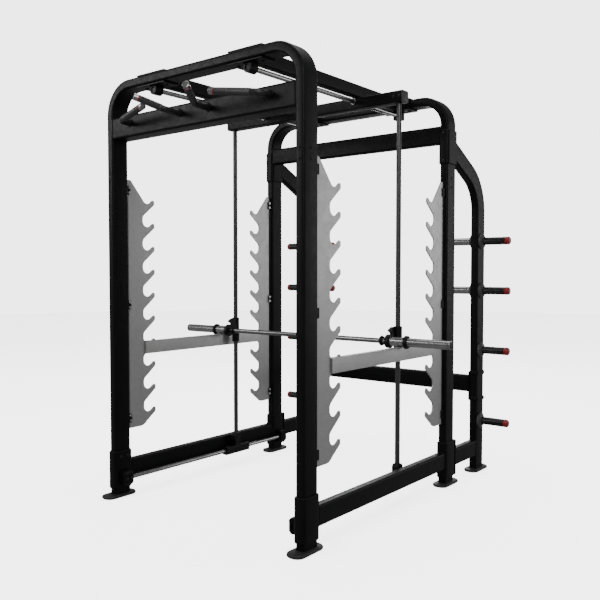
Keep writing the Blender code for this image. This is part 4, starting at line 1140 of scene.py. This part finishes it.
def area_light(name, place, target, size, power):
    """A soft square light aimed at a point."""
    light = bpy.data.lights.new(name, "AREA")
    light.size = size
    light.energy = power
    holder = bpy.data.objects.new(name, light)
    holder.location = place
    holder.rotation_euler = (Vector(target) - Vector(place)).to_track_quat("-Z", "Y").to_euler()
    bpy.context.scene.collection.objects.link(holder)
    return holder


def studio():
    """A pale floor and backdrop, soft lights and the camera at the front right corner."""
    scene = bpy.context.scene
    paint, *_ = shader_of("floor_paint", 0.30, 0.9, Specular_IOR_Level=0.0, Emission_Color=WHITE,
                          Emission_Strength=3.5)
    ring = [(FLOOR_RADIUS * math.cos(t), FLOOR_RADIUS * math.sin(t))
            for t in map(math.radians, range(0, 360, 5))]
    floor = stage_object("floor", prism(ring, "Z", -0.02, 0.0), paint)
    glow, *_ = shader_of("backdrop_white", 0.0, 1.0, Emission_Color=WHITE, Emission_Strength=4.0)
    dome = [(DOME_RADIUS, -1.0), (DOME_RADIUS, DOME_WALL)]
    dome += [(DOME_RADIUS * math.cos(t), DOME_WALL + DOME_RADIUS * math.sin(t))
             for t in map(math.radians, range(10, 90, 10))]
    stage_object("backdrop", turned(dome, "Z"), glow)
    world = bpy.data.worlds.new("studio_world")
    scene.world = world
    world.use_nodes = True
    background = world.node_tree.nodes["Background"]
    background.inputs["Color"].default_value = WHITE
    background.inputs["Strength"].default_value = 0.30
    area_light("key", (3.4, -3.4, 3.8), (0, 0, 1.1), 2.6, 100)
    area_light("side", (4.4, 5.6, 2.0), (0.6, 0.8, 1.1), 2.8, 62)
    area_light("left", (-3.2, -3.8, 3.1), (0, -0.4, 1.6), 1.7, 90)
    area_light("rear", (-2.4, 5.0, 3.0), (0, 0.6, 1.1), 2.4, 90)
    area_light("top", (0.0, 0.4, 5.2), (0, 0.3, 0), 3.0, 85)
    wash = area_light("floor_wash", (0.0, 0.0, 9.0), (0, 0, 0), 9.0, 4200)
    receivers = bpy.data.collections.new("floor_only")
    receivers.objects.link(floor)
    wash.light_linking.receiver_collection = receivers
    camera = bpy.data.cameras.new("camera")
    camera.lens = 43.38
    camera.sensor_width = 36.0
    eye = bpy.data.objects.new("camera", camera)
    eye.location = (2.671, FRONT_Y - 2.552, 1.267)
    yaw, pitch = math.radians(38.59), math.radians(-2.17)
    look = Vector((-math.sin(yaw) * math.cos(pitch), math.cos(yaw) * math.cos(pitch), math.sin(pitch)))
    eye.rotation_euler = look.to_track_quat("-Z", "Y").to_euler()
    scene.collection.objects.link(eye)
    scene.camera = eye


studio()
hoop("front_hoop", "front_arch", FRONT_Y)
hoop("rear_hoop", "rear_arch", REAR_Y)
feet()
side_frames()
crossbeams()
storage_crossbeam()
top_beams()
storage_uprights()
storage_pegs()
hook_columns()
safety_arms()
handles()
rails()
carriage()
rod_housings()
bar()
